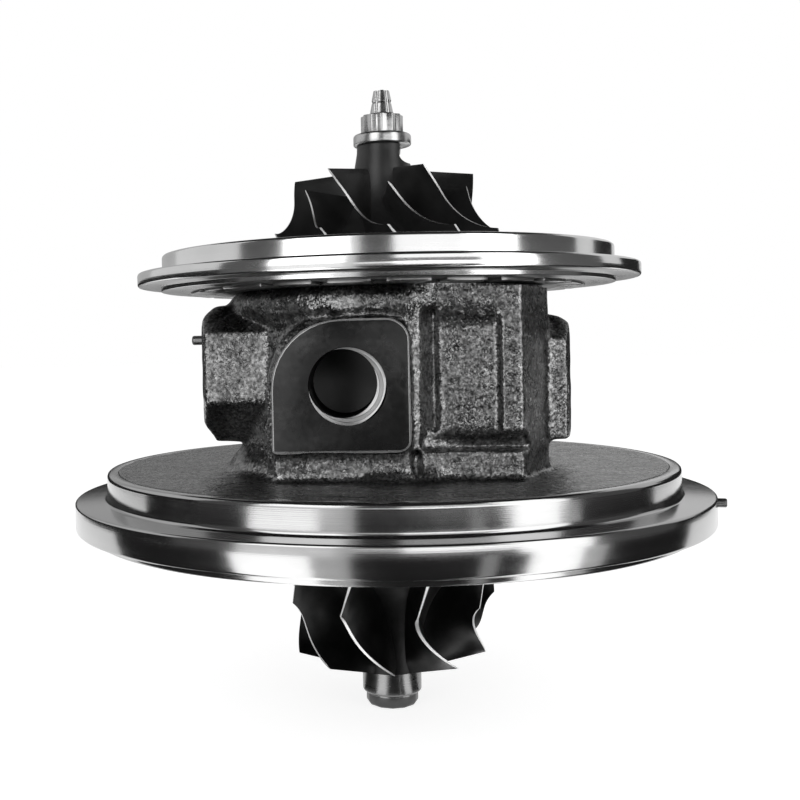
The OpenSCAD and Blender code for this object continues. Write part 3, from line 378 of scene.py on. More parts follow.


# The milled faces get a near-black, part-metal colour: a painted dark reflection in place of what bright
# milled iron would mirror.
milled_iron_painted_reflection = cast_finish("milled_iron_painted_reflection", dark=0.011, light=0.018, grain_mm=0.8, tilt=0.15)
milled_iron_painted_reflection.node_tree.nodes["Principled BSDF"].inputs["Metallic"].default_value = 0.3
bright_edge = turned_finish("bright_edge", tone=0.5, smooth=0.25, rough=0.35)
# The thread and the hole's bottom are near-black: painted shade inside the hole.
shaded_thread = turned_finish("shaded_thread", tone=0.03, smooth=0.3, rough=0.42)
pad = pad_face(pad_corners, pad_thickness - pad_reach, -proud - pad_reach, broken_edge)
pad = put("feed_pad_face", pad, [milled_iron_painted_reflection, bright_edge])
pad_drill = aim(rod(feed_drill_r, feed_depth), FORWARD, (feed_x, -pad_reach + feed_depth / 2, feed_z))
machine(pad, put("pad_drill", pad_drill, [machined_iron]), "DIFFERENCE")
pad.data.set_sharp_from_angle(angle=math.radians(35))
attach(pad, "housing")

thread_outline = [
    (thread_wall_r, -bottom_cone - bottom_wall, 0), (0, -bottom_cone - bottom_wall, 0),
    (0, -bottom_cone, 0), (thread_r, 0, 0),
]
turns = int((feed_depth - thread_end) / pitch)
for turn in range(turns):
    start = thread_lead + turn * pitch
    flat_start = start + thread_flank
    flat_end = flat_start + thread_flat
    thread_outline += [
        (thread_r, start, 0), (thread_root_r, flat_start, 0),
        (thread_root_r, flat_end, 0), (thread_r, flat_end + thread_flank, 0),
    ]
thread_outline += [(thread_r, feed_depth, 0), (thread_wall_r, feed_depth, 0)]
thread_place = (feed_x - off_left, feed_depth - pad_reach, feed_z + off_up)
port = aim(turned_shape(thread_outline, steps=72), FORWARD, thread_place)
port = put("feed_port_thread", port, [shaded_thread])
sink_outline = [(0, -sink_depth, 0), (sink_r, -sink_depth, 0)]
for share in (0.4, 0.7):
    line_r = sink_r + (feed_drill_r - sink_r) * share
    line_z = sink_depth * (share - 1)
    sink_outline += [(line_r, line_z - sink_line, 0), (line_r + sink_line, line_z + sink_line, 0)]
sink_outline += [(feed_drill_r, 0.02, 0), (feed_drill_r, 1, 0), (0, 1, 0)]
countersink = turned_shape(sink_outline, steps=72)
countersink = aim(countersink, FORWARD, (feed_x, -pad_reach, feed_z))
machine(port, put("feed_countersink", countersink, [bright_edge]), "DIFFERENCE")
port.data.set_sharp_from_angle(angle=math.radians(35))
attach(port, "housing")


# Oil drain pad: the machined face behind the shaft, with the drain's bore and two tapped holes
# for the pipe's flange. It faces away from the feed.
drain_w, drain_h, drain_corner = 44.0, 21.0, 5.0
mouth_w, mouth_low, mouth_high, tool_low, tool_high = 0.6, -0.4, 0.2, -3.0, 2.0
drain_corners = [
    (sx * drain_w / 2, drain_z + sz * drain_h / 2, drain_corner)
    for sx, sz in ((-1, -1), (1, -1), (1, 1), (-1, 1))
]
drain = pad_face(drain_corners, drain_reach - pad_thickness, drain_reach + proud, broken_edge)
drain = put("drain_pad_face", drain, [milled_iron_painted_reflection, bright_edge])
holes = [(drain_r, 0), (drain_bolt_r, -drain_bolt_gap / 2), (drain_bolt_r, drain_bolt_gap / 2)]
for r, x in holes:
    hole_tool = turned_shape([
        (0, tool_low, 0), (r, tool_low, 0), (r, mouth_low, 0),
        (r + mouth_w, mouth_high, 0), (r + mouth_w, tool_high, 0), (0, tool_high, 0),
    ], steps=64)
    hole_tool = aim(hole_tool, BACKWARD, (x, drain_reach, drain_z))
    machine(drain, put("countersink", hole_tool, [machined_iron]), "DIFFERENCE")
drain.data.set_sharp_from_angle(angle=math.radians(35))
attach(drain, "housing")


# Dowel pin in the left lobe and locating pin in the flange rim. Both are plain steel, pressed in,
# with a rounded end standing out.
dowel_r, dowel_length, left_reach, dowel_z = 0.85, 7.3, 33.2, 32.3
rim_pin_r, rim_pin_length, rim_pin_z, rim_pin_turn = 0.75, 6.4, 3.85, math.radians(-16)
pin_hold = 5.0
plain_steel = turned_finish("plain_steel", tone=0.22, smooth=0.3, rough=0.45)


def pin(name, r, length, way, place, node):
    """A steel pin with a rounded outer end, in place of its node."""
    shape = turned_shape([(0, 0, 0), (r, 0, 0.1), (r, length, 0.4 * r), (0, length, 0)], steps=32)
    piece = put(name, aim(shape, way, place), [plain_steel])
    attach(piece, "housing")
    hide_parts(node)


dowel_place = (pin_hold - left_reach, 0, dowel_z)
pin("lobe_dowel", dowel_r, dowel_length, Vector((-1, 0, 0)), dowel_place, "housing_dowel_pin")
rim_way = Vector((math.cos(rim_pin_turn), math.sin(rim_pin_turn), 0))
rim_place = (*(rim_way.xy * (flange_r - pin_hold)), rim_pin_z)
pin("rim_pin", rim_pin_r, rim_pin_length, rim_way, rim_place, "flange_locating_pin")


# Bearings and seals inside the housing: bronze bushes and thrust plate, steel rings and pins, the
# ground collar and flinger, and a rubber ring. They keep their solids and get their own finish.
bronze = turned_finish("bearing_bronze", tone=0.5, smooth=0.2, rough=0.32)
bronze_shader = bronze.node_tree.nodes["Principled BSDF"]
bronze_shader.inputs["Specular Tint"].default_value = (1.0, 0.72, 0.42, 1)
ground_steel = turned_finish("ground_steel", tone=0.6, smooth=0.14, rough=0.24)
rubber = cast_finish("seal_rubber", dark=0.015, light=0.03, grain_mm=0.3, tilt=0.2)
rubber.node_tree.nodes["Principled BSDF"].inputs["Metallic"].default_value = 0.0
inner_finishes = {
    "turbine_side_bush": bronze,
    "compressor_side_bush": bronze,
    "thrust_bearing": bronze,
    "thrust_bearing_pins": plain_steel,
    "bush_snap_rings": plain_steel,
    "compressor_seal_ring": plain_steel,
    "turbine_seal_ring": plain_steel,
    "thrust_collar": ground_steel,
    "oil_flinger": ground_steel,
    "backplate_o_ring": rubber,
    "backplate_screws": plain_steel,
    "rotor_shaft": ground_steel,
}
for node, finish in inner_finishes.items():
    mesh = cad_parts[node].data
    mesh.materials.clear()
    mesh.materials.append(finish)


# Heat shield: a dished disc of thin sheet, pressed to shape and clamped under the housing's floor
# to keep the exhaust's heat off the oil.
sheet, shield_gap = 0.7, 0.02
shield_hole_r, shield_flat_r, shield_lip_r, shield_r = 8.6, 15.5, 21.0, 26.0
shield_steel = turned_finish("shield_steel", tone=0.34, smooth=0.28, rough=0.4)
shield_low = -nose_drop - 2 * sheet
shield = turned_shape([
    (shield_hole_r, shield_low, 0.2), (shield_flat_r, shield_low, 0.8),
    (shield_lip_r + sheet, floor_rise - sheet, 0.8), (shield_r, floor_rise - sheet, 0.2),
    (shield_r, floor_rise - shield_gap, 0.2), (shield_lip_r, floor_rise - shield_gap, 0.8),
    (shield_flat_r - sheet / 2, shield_low + sheet, 0.8), (shield_hole_r, shield_low + sheet, 0.2),
])
shield = put("heat_shield_disc", shield, [shield_steel])
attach(shield, "housing")
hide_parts("heat_shield")


# Compressor backplate: an aluminium disc turned all over, with a lower rim, an upper rim that
# centres the compressor housing, a step underneath, and a boss that is milled into a ring of lugs.
plate_r, plate_z, plate_shoulder, plate_top = 44.35, 41.7, 44.1, 47.3
plate_pilot_r, pocket_r, pocket_floor = 40.0, 22.4, 45.2
under_step_r, under_step_z = 40.2, 40.9
boss_r, boss_z = 35.0, 40.4
lug_in_r, lug_count, slot_w, slot_phase = 30.5, 24, 2.2, math.radians(-1.5)
lug_sink, lug_edge = 0.2, 0.2
spigot_r, spigot_z, room_r, room_top, flinger_bore_r = 14.98, 38.2, 10.0, 41.6, 6.05
groove_r, groove_low, groove_high = 13.6, 38.6, 40.0

turned_aluminium = turned_finish("turned_aluminium", tone=0.86, smooth=0.1, rough=0.18, line_mm=0.22)
# Duller, darker aluminium for the milled lugs and the plate's downward faces; on the downward faces its
# darker tone is painted shade.
dull_and_shaded_aluminium = turned_finish("dull_and_shaded_aluminium", tone=0.3, smooth=0.24, rough=0.34, line_mm=0.3)
slot_shade = turned_finish("slot_shade", tone=0.05, smooth=0.3, rough=0.42)
plate = turned_shape([
    (flinger_bore_r, room_top, 0.1), (room_r, room_top, 0.2), (room_r, spigot_z, 0.2),
    (spigot_r, spigot_z, 0.2), (spigot_r, groove_low, 0.1), (groove_r, groove_low, 0.1),
    (groove_r, groove_high, 0.1), (spigot_r, groove_high, 0.1), (spigot_r, boss_z, 0.05),
    (lug_in_r, boss_z, 0.1), (lug_in_r, under_step_z, 0.1), (under_step_r, under_step_z, 0.15),
    (under_step_r, plate_z, 0.1), (plate_r, plate_z, 0.45),
    (plate_r, plate_shoulder, 0.45), (plate_pilot_r, plate_shoulder, 0.35),
    (plate_pilot_r, plate_top, 0.5), (pocket_r, plate_top, 0.3), (pocket_r, pocket_floor, 0.3),
    (flinger_bore_r, pocket_floor, 0.2),
], steps=192)
slot_turn = slot_w / (boss_r - 2)
lug_turn = 2 * math.pi / lug_count - slot_turn
lug_low, lug_high = (lug_in_r - lug_sink, boss_z), (boss_r, under_step_z + lug_sink)
lug_corners = (lug_low, (lug_high[0], lug_low[1]), lug_high, (lug_low[0], lug_high[1]))
lug = bmesh.new()
lug.faces.new([lug.verts.new((r * mm, 0, z * mm)) for r, z in lug_corners])
bmesh.ops.rotate(
    lug, verts=lug.verts, cent=(0, 0, 0), matrix=Matrix.Rotation(slot_phase + slot_turn / 2, 3, "Z"),
)
bmesh.ops.spin(
    lug, geom=lug.verts[:] + lug.edges[:] + lug.faces[:], cent=(0, 0, 0), axis=(0, 0, 1),
    angle=lug_turn, steps=5,
)
bmesh.ops.recalc_face_normals(lug, faces=lug.faces)
lug_edges = [e for e in lug.edges if len(e.link_faces) == 2 and e.calc_face_angle() > 1]
bmesh.ops.bevel(
    lug, geom=lug_edges, offset=lug_edge * mm, affect="EDGES", segments=2, profile=0.5, material=-1,
)
bmesh.ops.spin(
    lug, geom=lug.verts[:] + lug.edges[:] + lug.faces[:], cent=(0, 0, 0), axis=(0, 0, 1),
    angle=2 * math.pi * (lug_count - 1) / lug_count, steps=lug_count - 1, use_duplicate=True,
)
# Faces below the underside step, which show in the slots between the lugs, take the near-black slot finish
# as painted shade; downward faces take the darker aluminium as painted shade.
for face in plate.faces:
    if face.calc_center_median().z < (under_step_z - near) * mm:
        face.material_index = 2
    elif face.normal.z < -0.7:
        face.material_index = 1
plate = put("backplate_disc", plate, [turned_aluminium, dull_and_shaded_aluminium, slot_shade])
lugs = put("backplate_lugs", lug, [dull_and_shaded_aluminium])
for piece in (plate, lugs):
    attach(piece, "housing")
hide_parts("compressor_backplate")


# Turbine wheel: one investment casting of dark heat-proof alloy. The blades' tips are ground to the
# housing's contour, so they shine, and the hub ends in a turned neck with a faceted boss.
turb_r, turb_out_r, turb_hub_r = 18.9, 17.0, 5.35
turb_back, turb_tip_bottom, turb_tip_end, turb_hub_end = -8.4, -14.6, -24.6, -28.1
turb_shoulder, turb_end, weld_r, weld_z = -32.1, -34.6, 7.1, -3.0
turb_blades, turb_wrap, turb_phase, turb_lean = 9, 28.0, -26.5, 7.0
tip_waist, rim_edge, neck_step, neck_cut = 0.15, 0.5, 0.7, 0.45


def wheel_finish(name, dark, light, rough, metallic=0.7):
    """Near-black satin skin of a cast wheel."""
    finish = new_finish(name, metallic=metallic, roughness=rough)
    place = wire(finish, "ShaderNodeTexCoord", {}, output="Object")
    grain = noise(finish, place, 0.25, 3)
    clouds = noise(finish, place, 4.0, 3)
    skin = wire(finish, "ShaderNodeBump", {"Strength": 0.5, "Distance": 0.02 * mm, "Height": grain})
    give(
        finish,
        Normal=skin,
        Base_Color=spread(finish, clouds, dark, light),
        Roughness=spread(finish, grain, rough - 0.06, rough + 0.06),
    )
    return finish


def blade_block(stations, spans):
    """A unit block cut into a lattice: X runs along the flow, Y from hub to tip, Z across the blade."""
    block = bmesh.new()
    bmesh.ops.create_cube(block, size=1)
    bmesh.ops.translate(block, verts=block.verts, vec=(0.5, 0.5, 0))
    for axis, cuts in ((0, stations), (1, spans)):
        along = [e for e in block.edges if abs(e.verts[0].co[axis] - e.verts[1].co[axis]) > 0.5]
        bmesh.ops.subdivide_edges(block, edges=along, cuts=cuts, use_grid_fill=True)
    return block


def bend_blade(block, hub, tip, turn, thickness, ground_end):
    """Bends a blade block between a hub line and a tip line; its tip and one end take the second finish."""
    for face in block.faces:
        at_tip = all(v.co.y > 0.999 for v in face.verts)
        at_end = all(abs(v.co.x - ground_end) < 0.001 for v in face.verts)
        face.material_index = 1 if at_tip or at_end else 0
    for point in block.verts:
        along, out, side = point.co
        (hub_r, hub_z), (tip_r, tip_z) = hub(along), tip(along)
        span = -0.06 + 1.06 * out
        r = hub_r + (tip_r - hub_r) * span
        z = hub_z + (tip_z - hub_z) * span
        angle = math.radians(turn(along, out)) + side * thickness(along, out) / r
        point.co = (r * math.sin(angle) * mm, -r * math.cos(angle) * mm, z * mm)


def copies_round(shape, count, first):
    """Turns a shape to its first place, in degrees, and repeats it evenly round the shaft axis."""
    start = Matrix.Rotation(math.radians(first), 3, "Z")
    bmesh.ops.rotate(shape, verts=shape.verts, cent=(0, 0, 0), matrix=start)
    bmesh.ops.spin(
        shape, geom=shape.verts[:] + shape.edges[:] + shape.faces[:], cent=(0, 0, 0), axis=(0, 0, 1),
        angle=2 * math.pi * (count - 1) / count, steps=count - 1, use_duplicate=True,
    )
    bmesh.ops.recalc_face_normals(shape, faces=shape.faces)


def turb_hub(along):
    """Radius and height of the turbine's hub, from the back disc (0) to the outlet (1)."""
    quarter = math.radians(90 * (1 - along))
    rim = turb_r - rim_edge
    r = rim - (rim - turb_hub_r) * math.cos(quarter)
    return r, turb_hub_end + (turb_back - turb_hub_end) * math.sin(quarter)


def turb_tip(along):
    """Radius and height of the turbine blades' tips, from the inlet (0) to the outlet (1)."""
    waist_r = turb_out_r - tip_waist
    r = waist_r + (turb_r - waist_r) * (1 - along) ** 6 + tip_waist * along
    return r, turb_tip_bottom + (turb_tip_end - turb_tip_bottom) * along


def turb_root(along):
    """Hub line that the blades stand on: it reaches out to the rim at the inlet."""
    share = max(0.0, 1 - along / 0.12)
    hub_r, hub_z = turb_hub(along)
    return hub_r + (turb_tip(along)[0] - hub_r) * share, hub_z + (turb_back - hub_z) * share


def turb_turn(along, out):
    """Angle of a turbine blade from its inlet tip, in degrees."""
    return turb_wrap * along ** 2 + turb_lean * (1 - along) * (1 - out)


def turb_thickness(along, out):
    """Thickness of a turbine blade: thick and flared at the root, thin at the tip and the edges."""
    edge = min(1.0, 0.45 + along / 0.12, 0.45 + (1 - along) / 0.12)
    return (0.6 + 0.8 * (1 - out) ** 2 + 1.2 * math.exp(-out / 0.07)) * edge


turbine_skin = wheel_finish("turbine_skin", dark=0.01, light=0.026, rough=0.36)
ground_tip = turned_finish("ground_tip", tone=0.85, smooth=0.38, rough=0.5)
turned_neck = turned_finish("turned_neck", tone=0.24, smooth=0.22, rough=0.32)
boss_skin = turned_finish("boss_skin", tone=0.1, smooth=0.3, rough=0.42)

turb_core = turned_shape(
    [(0, weld_z, 0), (weld_r, weld_z, 0.1)]
    + [(weld_r, turb_back + 2, 0.8), (turb_r - rim_edge, turb_back + 1, 0.3)]
    + [(*turb_hub(i / 24), 0) for i in range(25)]
    + [(turb_hub_r, turb_shoulder, 0.35), (turb_hub_r - neck_step, turb_shoulder - 0.1, 0)]
    + [(turb_hub_r - neck_step, turb_shoulder - neck_cut, 0), (0, turb_shoulder - neck_cut, 0)]
)
for face in turb_core.faces:
    face.material_index = 1 if face.calc_center_median().z < (turb_hub_end + 0.4) * mm else 0
turb_core = put("turbine_hub", turb_core, [turbine_skin, turned_neck])

boss_top, boss_end_r, boss_rounding = turb_shoulder - 0.35, 4.7, 0.8
boss = bmesh.new()
bmesh.ops.create_cone(
    boss, cap_ends=True, segments=12, radius1=boss_end_r * mm, radius2=boss_end_r * mm,
    depth=(boss_top - turb_end) * mm,
)
bmesh.ops.translate(boss, verts=boss.verts, vec=(0, 0, (boss_top + turb_end) / 2 * mm))
bmesh.ops.bevel(
    boss, geom=[e for e in boss.edges if all(v.co.z < (turb_end + 0.1) * mm for v in e.verts)],
    offset=boss_rounding * mm, affect="EDGES", segments=4, profile=0.5, material=-1,
)
boss = put("turbine_end_boss", boss, [boss_skin])

turb_vanes = blade_block(28, 9)
bend_blade(turb_vanes, turb_root, turb_tip, turb_turn, turb_thickness, ground_end=0)
copies_round(turb_vanes, turb_blades, turb_phase)
turb_vanes = put("turbine_blades", turb_vanes, [turbine_skin, ground_tip])
for piece in (turb_core, boss, turb_vanes):
    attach(piece, "rotor")
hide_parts("turbine_wheel")


# Compressor wheel: cast aluminium with a dark coat, six full blades and six splitters. The blades'
# tips are turned to the housing's contour after coating, which leaves a bright line on each.
comp_out_r, comp_in_r, comp_nose_r, comp_root_r = 22.0, 16.1, 4.6, 5.2
comp_back, comp_floor, comp_outlet = 46.0, 47.3, 50.3
comp_bend, comp_inlet, comp_hub_start, comp_nose = 56.9, 60.9, 62.0, 66.6
comp_blades, comp_wrap, comp_phase, comp_split, comp_straight = 6, 37.0, -35.0, 0.22, 0.3
comp_lean, comp_end, nose_h = 7.0, 0.995, 1.2
spindle_bore_r = 2.62


def comp_hub(along):
    """Radius and height of the compressor's hub, from the inlet (0) to the outlet (1)."""
    quarter = math.radians(90 * along)
    r = comp_out_r - (comp_out_r - comp_root_r) * math.cos(quarter)
    return r, comp_hub_start - (comp_hub_start - comp_floor) * math.sin(quarter)


def comp_tip(along):
    """Radius and height of the compressor blades' tips: straight down, then out to the outlet."""
    if along < comp_straight:
        return comp_in_r, comp_inlet - (comp_inlet - comp_bend) * along / comp_straight
    quarter = math.radians(90 * (along - comp_straight) / (1 - comp_straight))
    r = comp_out_r - (comp_out_r - comp_in_r) * math.cos(quarter)
    return r, comp_bend - (comp_bend - comp_outlet) * math.sin(quarter)


def comp_thickness(along, out):
    """Thickness of a compressor blade: flared at the root, thin at the tip and the leading edge."""
    edge = min(1.0, 0.35 + along / 0.06)
    return (0.42 + 0.5 * (1 - out) ** 2 + 1.0 * math.exp(-out / 0.06)) * edge


def comp_vanes(name, start, first):
    """A ring of blades that start part of the way along the hub, from 0 for full ones."""
    block = blade_block(30, 9)

    def along_wheel(along):
        return start + (comp_end - start) * along

    bend_blade(
        block,
        lambda along: comp_hub(along_wheel(along)),
        lambda along: comp_tip(along_wheel(along)),
        lambda along, out: comp_wrap * along_wheel(along) + comp_lean * (1 - out) * along_wheel(along) ** 4,
        comp_thickness,
        ground_end=1,
    )
    copies_round(block, comp_blades, first)
    return put(name, block, [wheel_coat, ground_tip])


wheel_coat = wheel_finish("wheel_coat", dark=0.016, light=0.03, rough=0.36, metallic=0.2)
comp_core = turned_shape(
    [(spindle_bore_r, comp_back, 0.1), (comp_out_r, comp_back, 0.2)]
    + [(*comp_hub(1 - i / 24), 0) for i in range(25)]
    + [(comp_nose_r, comp_nose - nose_h, 0.4), (comp_nose_r, comp_nose, 0.2)]
    + [(spindle_bore_r, comp_nose, 0)]
)
comp_core = put("compressor_hub", comp_core, [wheel_coat])
balance_r, balance_wall, balance_drop = 1.6, 0.3, 1.9
balance_x = spindle_bore_r + balance_wall + balance_r
for drop in (balance_drop, 0):
    mill_place = (balance_x, 2 * comp_nose_r, comp_nose - drop)
    balance_mill = aim(rod(balance_r, 4 * comp_nose_r), FORWARD, mill_place)
    machine(comp_core, put("balance_mill", balance_mill, [wheel_coat]), "DIFFERENCE")
comp_core.data.set_sharp_from_angle(angle=math.radians(35))
full_blades = comp_vanes("compressor_full_blades", 0.0, comp_phase)
splitters = comp_vanes("compressor_splitters", comp_split, comp_phase + 180 / comp_blades)
for piece in (comp_core, full_blades, splitters):
    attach(piece, "rotor")
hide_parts("compressor_wheel")


# Shaft nut: a twelve-point nut with a flange, in bright nickel. It clamps the compressor wheel on
# the shaft's thread.
nut_r, nut_in_r, nut_flange_r = 3.85, 3.4, 5.2
nut_flange_top, nut_top, nut_bore_r = 68.8, 72.0, 2.52
nut_edge, nut_sink = 0.22, 0.4
nickel = turned_finish("bright_nickel", tone=0.62, smooth=0.22, rough=0.32)

nut_flange = turned_shape([
    (nut_bore_r, comp_nose, 0.1), (nut_flange_r, comp_nose, 0.3),
    (nut_flange_r, nut_flange_top - 0.3, 0.4), (nut_in_r - 0.3, nut_flange_top, 0.1),
    (nut_bore_r, nut_flange_top, 0),
], steps=72)
nut_flange = put("nut_flange", nut_flange, [nickel])
points_ring = bmesh.new()
bmesh.ops.create_circle(points_ring, cap_ends=True, radius=nut_r * mm, segments=24)
for index, point in enumerate(points_ring.verts):
    if index % 2:
        point.co *= nut_in_r / nut_r
bmesh.ops.translate(points_ring, verts=points_ring.verts, vec=(0, 0, (nut_flange_top - nut_sink) * mm))
raised = bmesh.ops.extrude_face_region(points_ring, geom=points_ring.faces[:], use_keep_orig=True)["geom"]
bmesh.ops.translate(
    points_ring, verts=[v for v in raised if isinstance(v, bmesh.types.BMVert)],
    vec=(0, 0, (nut_top - nut_flange_top + nut_sink) * mm),
)
bmesh.ops.recalc_face_normals(points_ring, faces=points_ring.faces)
bmesh.ops.bevel(
    points_ring, geom=[e for e in points_ring.edges if e.calc_face_angle(0) > 0.2],
    offset=nut_edge * mm, affect="EDGES", segments=2, profile=0.5, material=-1,
)
nut = put("nut_points", points_ring, [nickel])
nut_drill = aim(rod(nut_bore_r, 8), UPWARD, (0, 0, comp_nose - 1))
machine(nut, put("nut_drill", nut_drill, [nickel]), "DIFFERENCE")
nut.data.set_sharp_from_angle(angle=math.radians(35))
for piece in (nut_flange, nut):
    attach(piece, "rotor")
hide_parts("compressor_nut")


# Studio: a pale floor under the part, a white surround, two soft lamps in front, and cards for the
# metal to mirror, standing round the part and lying on the floor. Their places and levels are set
# for this camera. They show in reflections alone, where they hide most of the white surround.
floor_z = turb_end - 0.05
floor_size = 6.0
surround_light = 0.45
floor_glow = 0.8
card_in_r, card_r, card_high = 9.0, 420.0, 380.0
canopy_r, canopy_z = 600.0, 385.0
lamp_sectors = ((-48, -16), (39, 64))
camera_spot = Vector((0, -198.125, 31.9321)) * mm


def seen_directly(tree):
    """1 for rays that show the surround itself: straight, in metal or through glass."""
    path = tree.nodes.new("ShaderNodeLightPath")
    either = tree.nodes.new("ShaderNodeMath")
    either.operation = "MAXIMUM"
    tree.links.new(path.outputs["Is Camera Ray"], either.inputs[0])
    tree.links.new(path.outputs["Is Glossy Ray"], either.inputs[1])
    both = tree.nodes.new("ShaderNodeMath")
    both.operation = "MAXIMUM"
    tree.links.new(either.outputs[0], both.inputs[0])
    tree.links.new(path.outputs["Is Transmission Ray"], both.inputs[1])
    return both.outputs[0]


world = bpy.data.worlds.new("white_surround")
bpy.context.scene.world = world
world.use_nodes = True
surround = world.node_tree.nodes["Background"]
surround.inputs["Color"].default_value = (1, 1, 1, 1)
level = world.node_tree.nodes.new("ShaderNodeMapRange")
level.inputs["To Min"].default_value = surround_light
level.inputs["To Max"].default_value = 1.0
world.node_tree.links.new(seen_directly(world.node_tree), level.inputs["Value"])
world.node_tree.links.new(level.outputs[0], surround.inputs["Strength"])

floor_shape = bmesh.new()
bmesh.ops.create_grid(floor_shape, x_segments=1, y_segments=1, size=floor_size / 2)
bmesh.ops.translate(floor_shape, verts=floor_shape.verts, vec=(0, 0, floor_z * mm))
floor_finish = new_finish("pale_floor", metallic=0.0, roughness=0.9)
floor_shader = floor_finish.node_tree.nodes["Principled BSDF"]
floor_shader.inputs["Base Color"].default_value = (0.5, 0.5, 0.5, 1)
floor_shader.inputs["Specular IOR Level"].default_value = 0.0
floor_shader.inputs["Emission Color"].default_value = (1, 1, 1, 1)
direct = seen_directly(floor_finish.node_tree)
glow = wire(floor_finish, "ShaderNodeMath", {0: direct, 1: floor_glow}, operation="MULTIPLY")
give(floor_finish, Emission_Strength=glow)
floor = put("studio_floor", floor_shape, [floor_finish])


def card_finish(name, strength):
    """Card that shows in reflections at an even brightness."""
    finish = new_finish(name, metallic=0.0, roughness=1.0)
    shader = finish.node_tree.nodes["Principled BSDF"]
    shader.inputs["Base Color"].default_value = (0, 0, 0, 1)
    shader.inputs["Specular IOR Level"].default_value = 0.0
    shader.inputs["Emission Color"].default_value = (1, 1, 1, 1)
    shader.inputs["Emission Strength"].default_value = strength
    return finish


def hang(name, shape, finish):
    """Puts a card in the studio, where only reflections show it."""
    piece = put(name, shape, [finish])
    piece.visible_camera = False
    piece.visible_diffuse = False
    piece.visible_shadow = False


def card(name, inner, outer, low, high, finish):
    """A card between two points of radius and height, swept round the shaft axis between two angles."""
    shape = bmesh.new()
    shape.edges.new([shape.verts.new((0, -r * mm, z * mm)) for r, z in (inner, outer)])
    start = Matrix.Rotation(math.radians(low), 3, "Z")
    bmesh.ops.rotate(shape, verts=shape.verts, cent=(0, 0, 0), matrix=start)
    bmesh.ops.spin(
        shape, geom=shape.verts[:] + shape.edges[:], cent=(0, 0, 0), axis=(0, 0, 1),
        angle=math.radians(high - low), steps=24,
    )
    hang(name, shape, finish)


def rim_line(turn):
    """Two points of the floor line that the rim mirrors to the camera at one angle from the front."""
    outward = Vector((math.sin(math.radians(turn)), -math.cos(math.radians(turn))))
    start = outward * flange_r * mm
    sight = (start - camera_spot.xy).normalized()
    return start, start + sight.reflect(outward) * card_r * mm


def floor_card(name, low, high, finish):
    """A card on the floor that fills the rim between two angles, as this camera sees it."""
    (low_start, low_end), (high_start, high_end) = rim_line(low), rim_line(high)
    shape = bmesh.new()
    corners = (low_start, low_end, high_end, high_start)
    shape.faces.new([shape.verts.new((*corner, card_z * mm)) for corner in corners])
    hang(name, shape, finish)


bright_card = card_finish("bright_card", 2.2)
soft_card = card_finish("soft_card", 0.7)
front_card = card_finish("front_card", 2.4)
light_card = card_finish("light_card", 1.05)
face_card = card_finish("face_card", 1.3)
grey_card = card_finish("grey_card", 0.45)
dark_card = card_finish("dark_card", 0.1)
black_card = card_finish("black_card", 0.02)
card_z = floor_z + 0.5
card_foot, card_top = (card_r, card_z), (card_r, card_high)
low_edge, face_low, face_high, high_edge = [(card_r, z) for z in (2, 14, 42, 55)]
veil_low, veil_high, flank_edge = [(card_r, z) for z in (105, 220, 130)]
standing = (
    (-72, -48, card_foot, card_top, dark_card),
    (-48, -16, card_foot, high_edge, light_card), (-48, -16, high_edge, card_top, bright_card),
    (-16, -11, card_foot, card_top, soft_card),
    (-11, 4, card_foot, face_low, dark_card), (-11, 4, face_low, face_high, face_card),
    (-11, 4, face_high, card_top, dark_card), (4, 39, card_foot, low_edge, dark_card),
    (4, 39, low_edge, high_edge, front_card), (4, 39, high_edge, veil_low, dark_card),
    (4, 39, veil_low, veil_high, face_card), (4, 39, veil_high, card_top, dark_card),
    (39, 64, card_foot, card_top, bright_card), (64, 102, card_foot, card_top, dark_card),
    (102, 288, card_foot, high_edge, black_card), (102, 118, high_edge, card_top, soft_card),
    (118, 147, high_edge, flank_edge, black_card), (118, 147, flank_edge, card_top, soft_card),
    (147, 180, high_edge, card_top, soft_card), (180, 235, high_edge, card_top, grey_card),
    (235, 288, high_edge, card_top, soft_card),
)
for low, high, foot, top, finish in standing:
    card(f"standing_card_{low}_{foot[1]:.0f}", foot, top, low, high, finish)
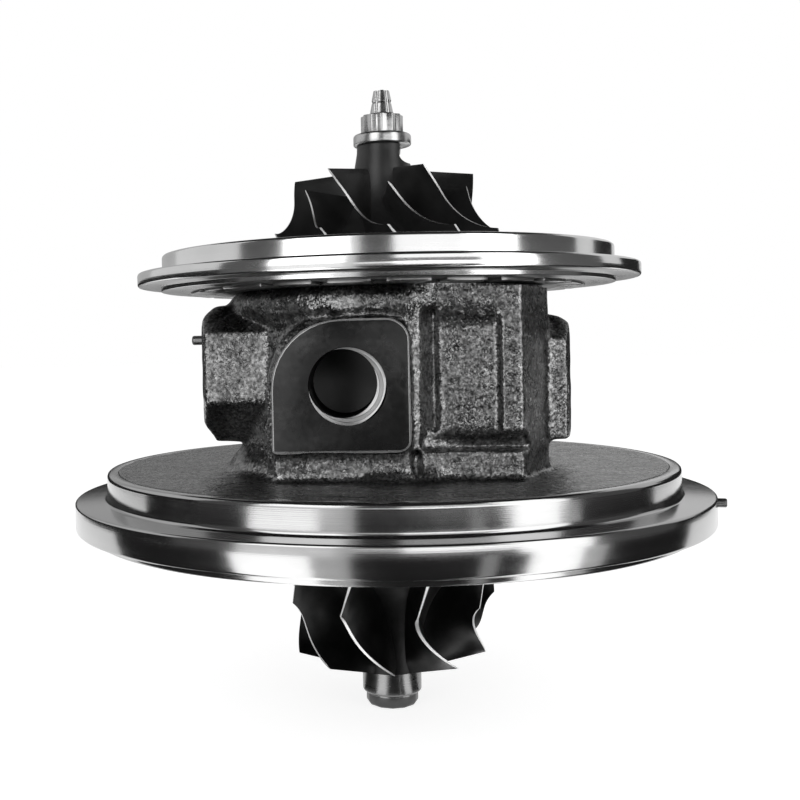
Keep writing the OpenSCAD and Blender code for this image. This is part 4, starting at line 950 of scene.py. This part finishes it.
inner = (
    (-112, -48, black_card), (-48, -18, bright_card), (-18, -12, soft_card), (-12, 24, black_card),
    (26, 39, black_card), (39, 63, bright_card), (63, 100, black_card),
)
for low, high, finish in inner:
    card(f"inner_card_{low}", (card_in_r, card_z), (flange_r, card_z), low, high, finish)
mirrored = (
    (-47, -23, black_card), (-23, -11, bright_card), (-11, -5.5, soft_card), (-5.5, 12.4, black_card),
    (12.4, 14.8, grey_card), (14.8, 19.4, black_card), (19.4, 27.8, bright_card), (27.8, 31.9, soft_card),
    (31.9, 51.7, black_card),
)
for low, high, finish in mirrored:
    floor_card(f"floor_card_{low:.0f}", low, high, finish)
card("canopy", (1, canopy_z), (canopy_r, canopy_z), 0, 359.9, black_card)

lamp_distance, lamp_height, lamp_brightness = 600.0, 600.0, 2.2
for low, high in lamp_sectors:
    turn = math.radians((low + high) / 2)
    lamp = bpy.data.lights.new(f"lamp_{low}", "AREA")
    lamp.shape = "RECTANGLE"
    lamp.size = 2 * lamp_distance * math.tan(math.radians(high - low) / 2) * mm
    lamp.size_y = lamp_height * mm
    lamp.energy = lamp_brightness * math.pi * lamp.size * lamp.size_y
    stand = bpy.data.objects.new(f"lamp_{low}", lamp)
    side = Vector((math.sin(turn), -math.cos(turn), 0))
    stand.location = (side * lamp_distance + UPWARD * (lamp_height / 2 + floor_z)) * mm
    stand.rotation_euler = side.to_track_quat("Z", "Y").to_euler()
    stand.visible_glossy = False
    bpy.context.scene.collection.objects.link(stand)

camera_data = bpy.data.cameras.new("camera")
camera_data.sensor_width = 36
camera_data.lens = 48.939
camera_data.shift_x = 0.12822
camera_data.shift_y = -0.0324
camera_data.clip_start = 0.01
camera = bpy.data.objects.new("camera", camera_data)
right = Vector((0.9965, 0.0810, -0.0211))
up = Vector((0.0185, 0.0327, 0.9993))
back = Vector((0.0816, -0.9962, 0.0310))
camera_place = Matrix.Translation(camera_spot)
camera.matrix_world = camera_place @ Matrix((right, up, back)).transposed().to_4x4()
bpy.context.scene.collection.objects.link(camera)
bpy.context.scene.camera = camera
bpy.context.scene.view_settings.view_transform = "Standard"
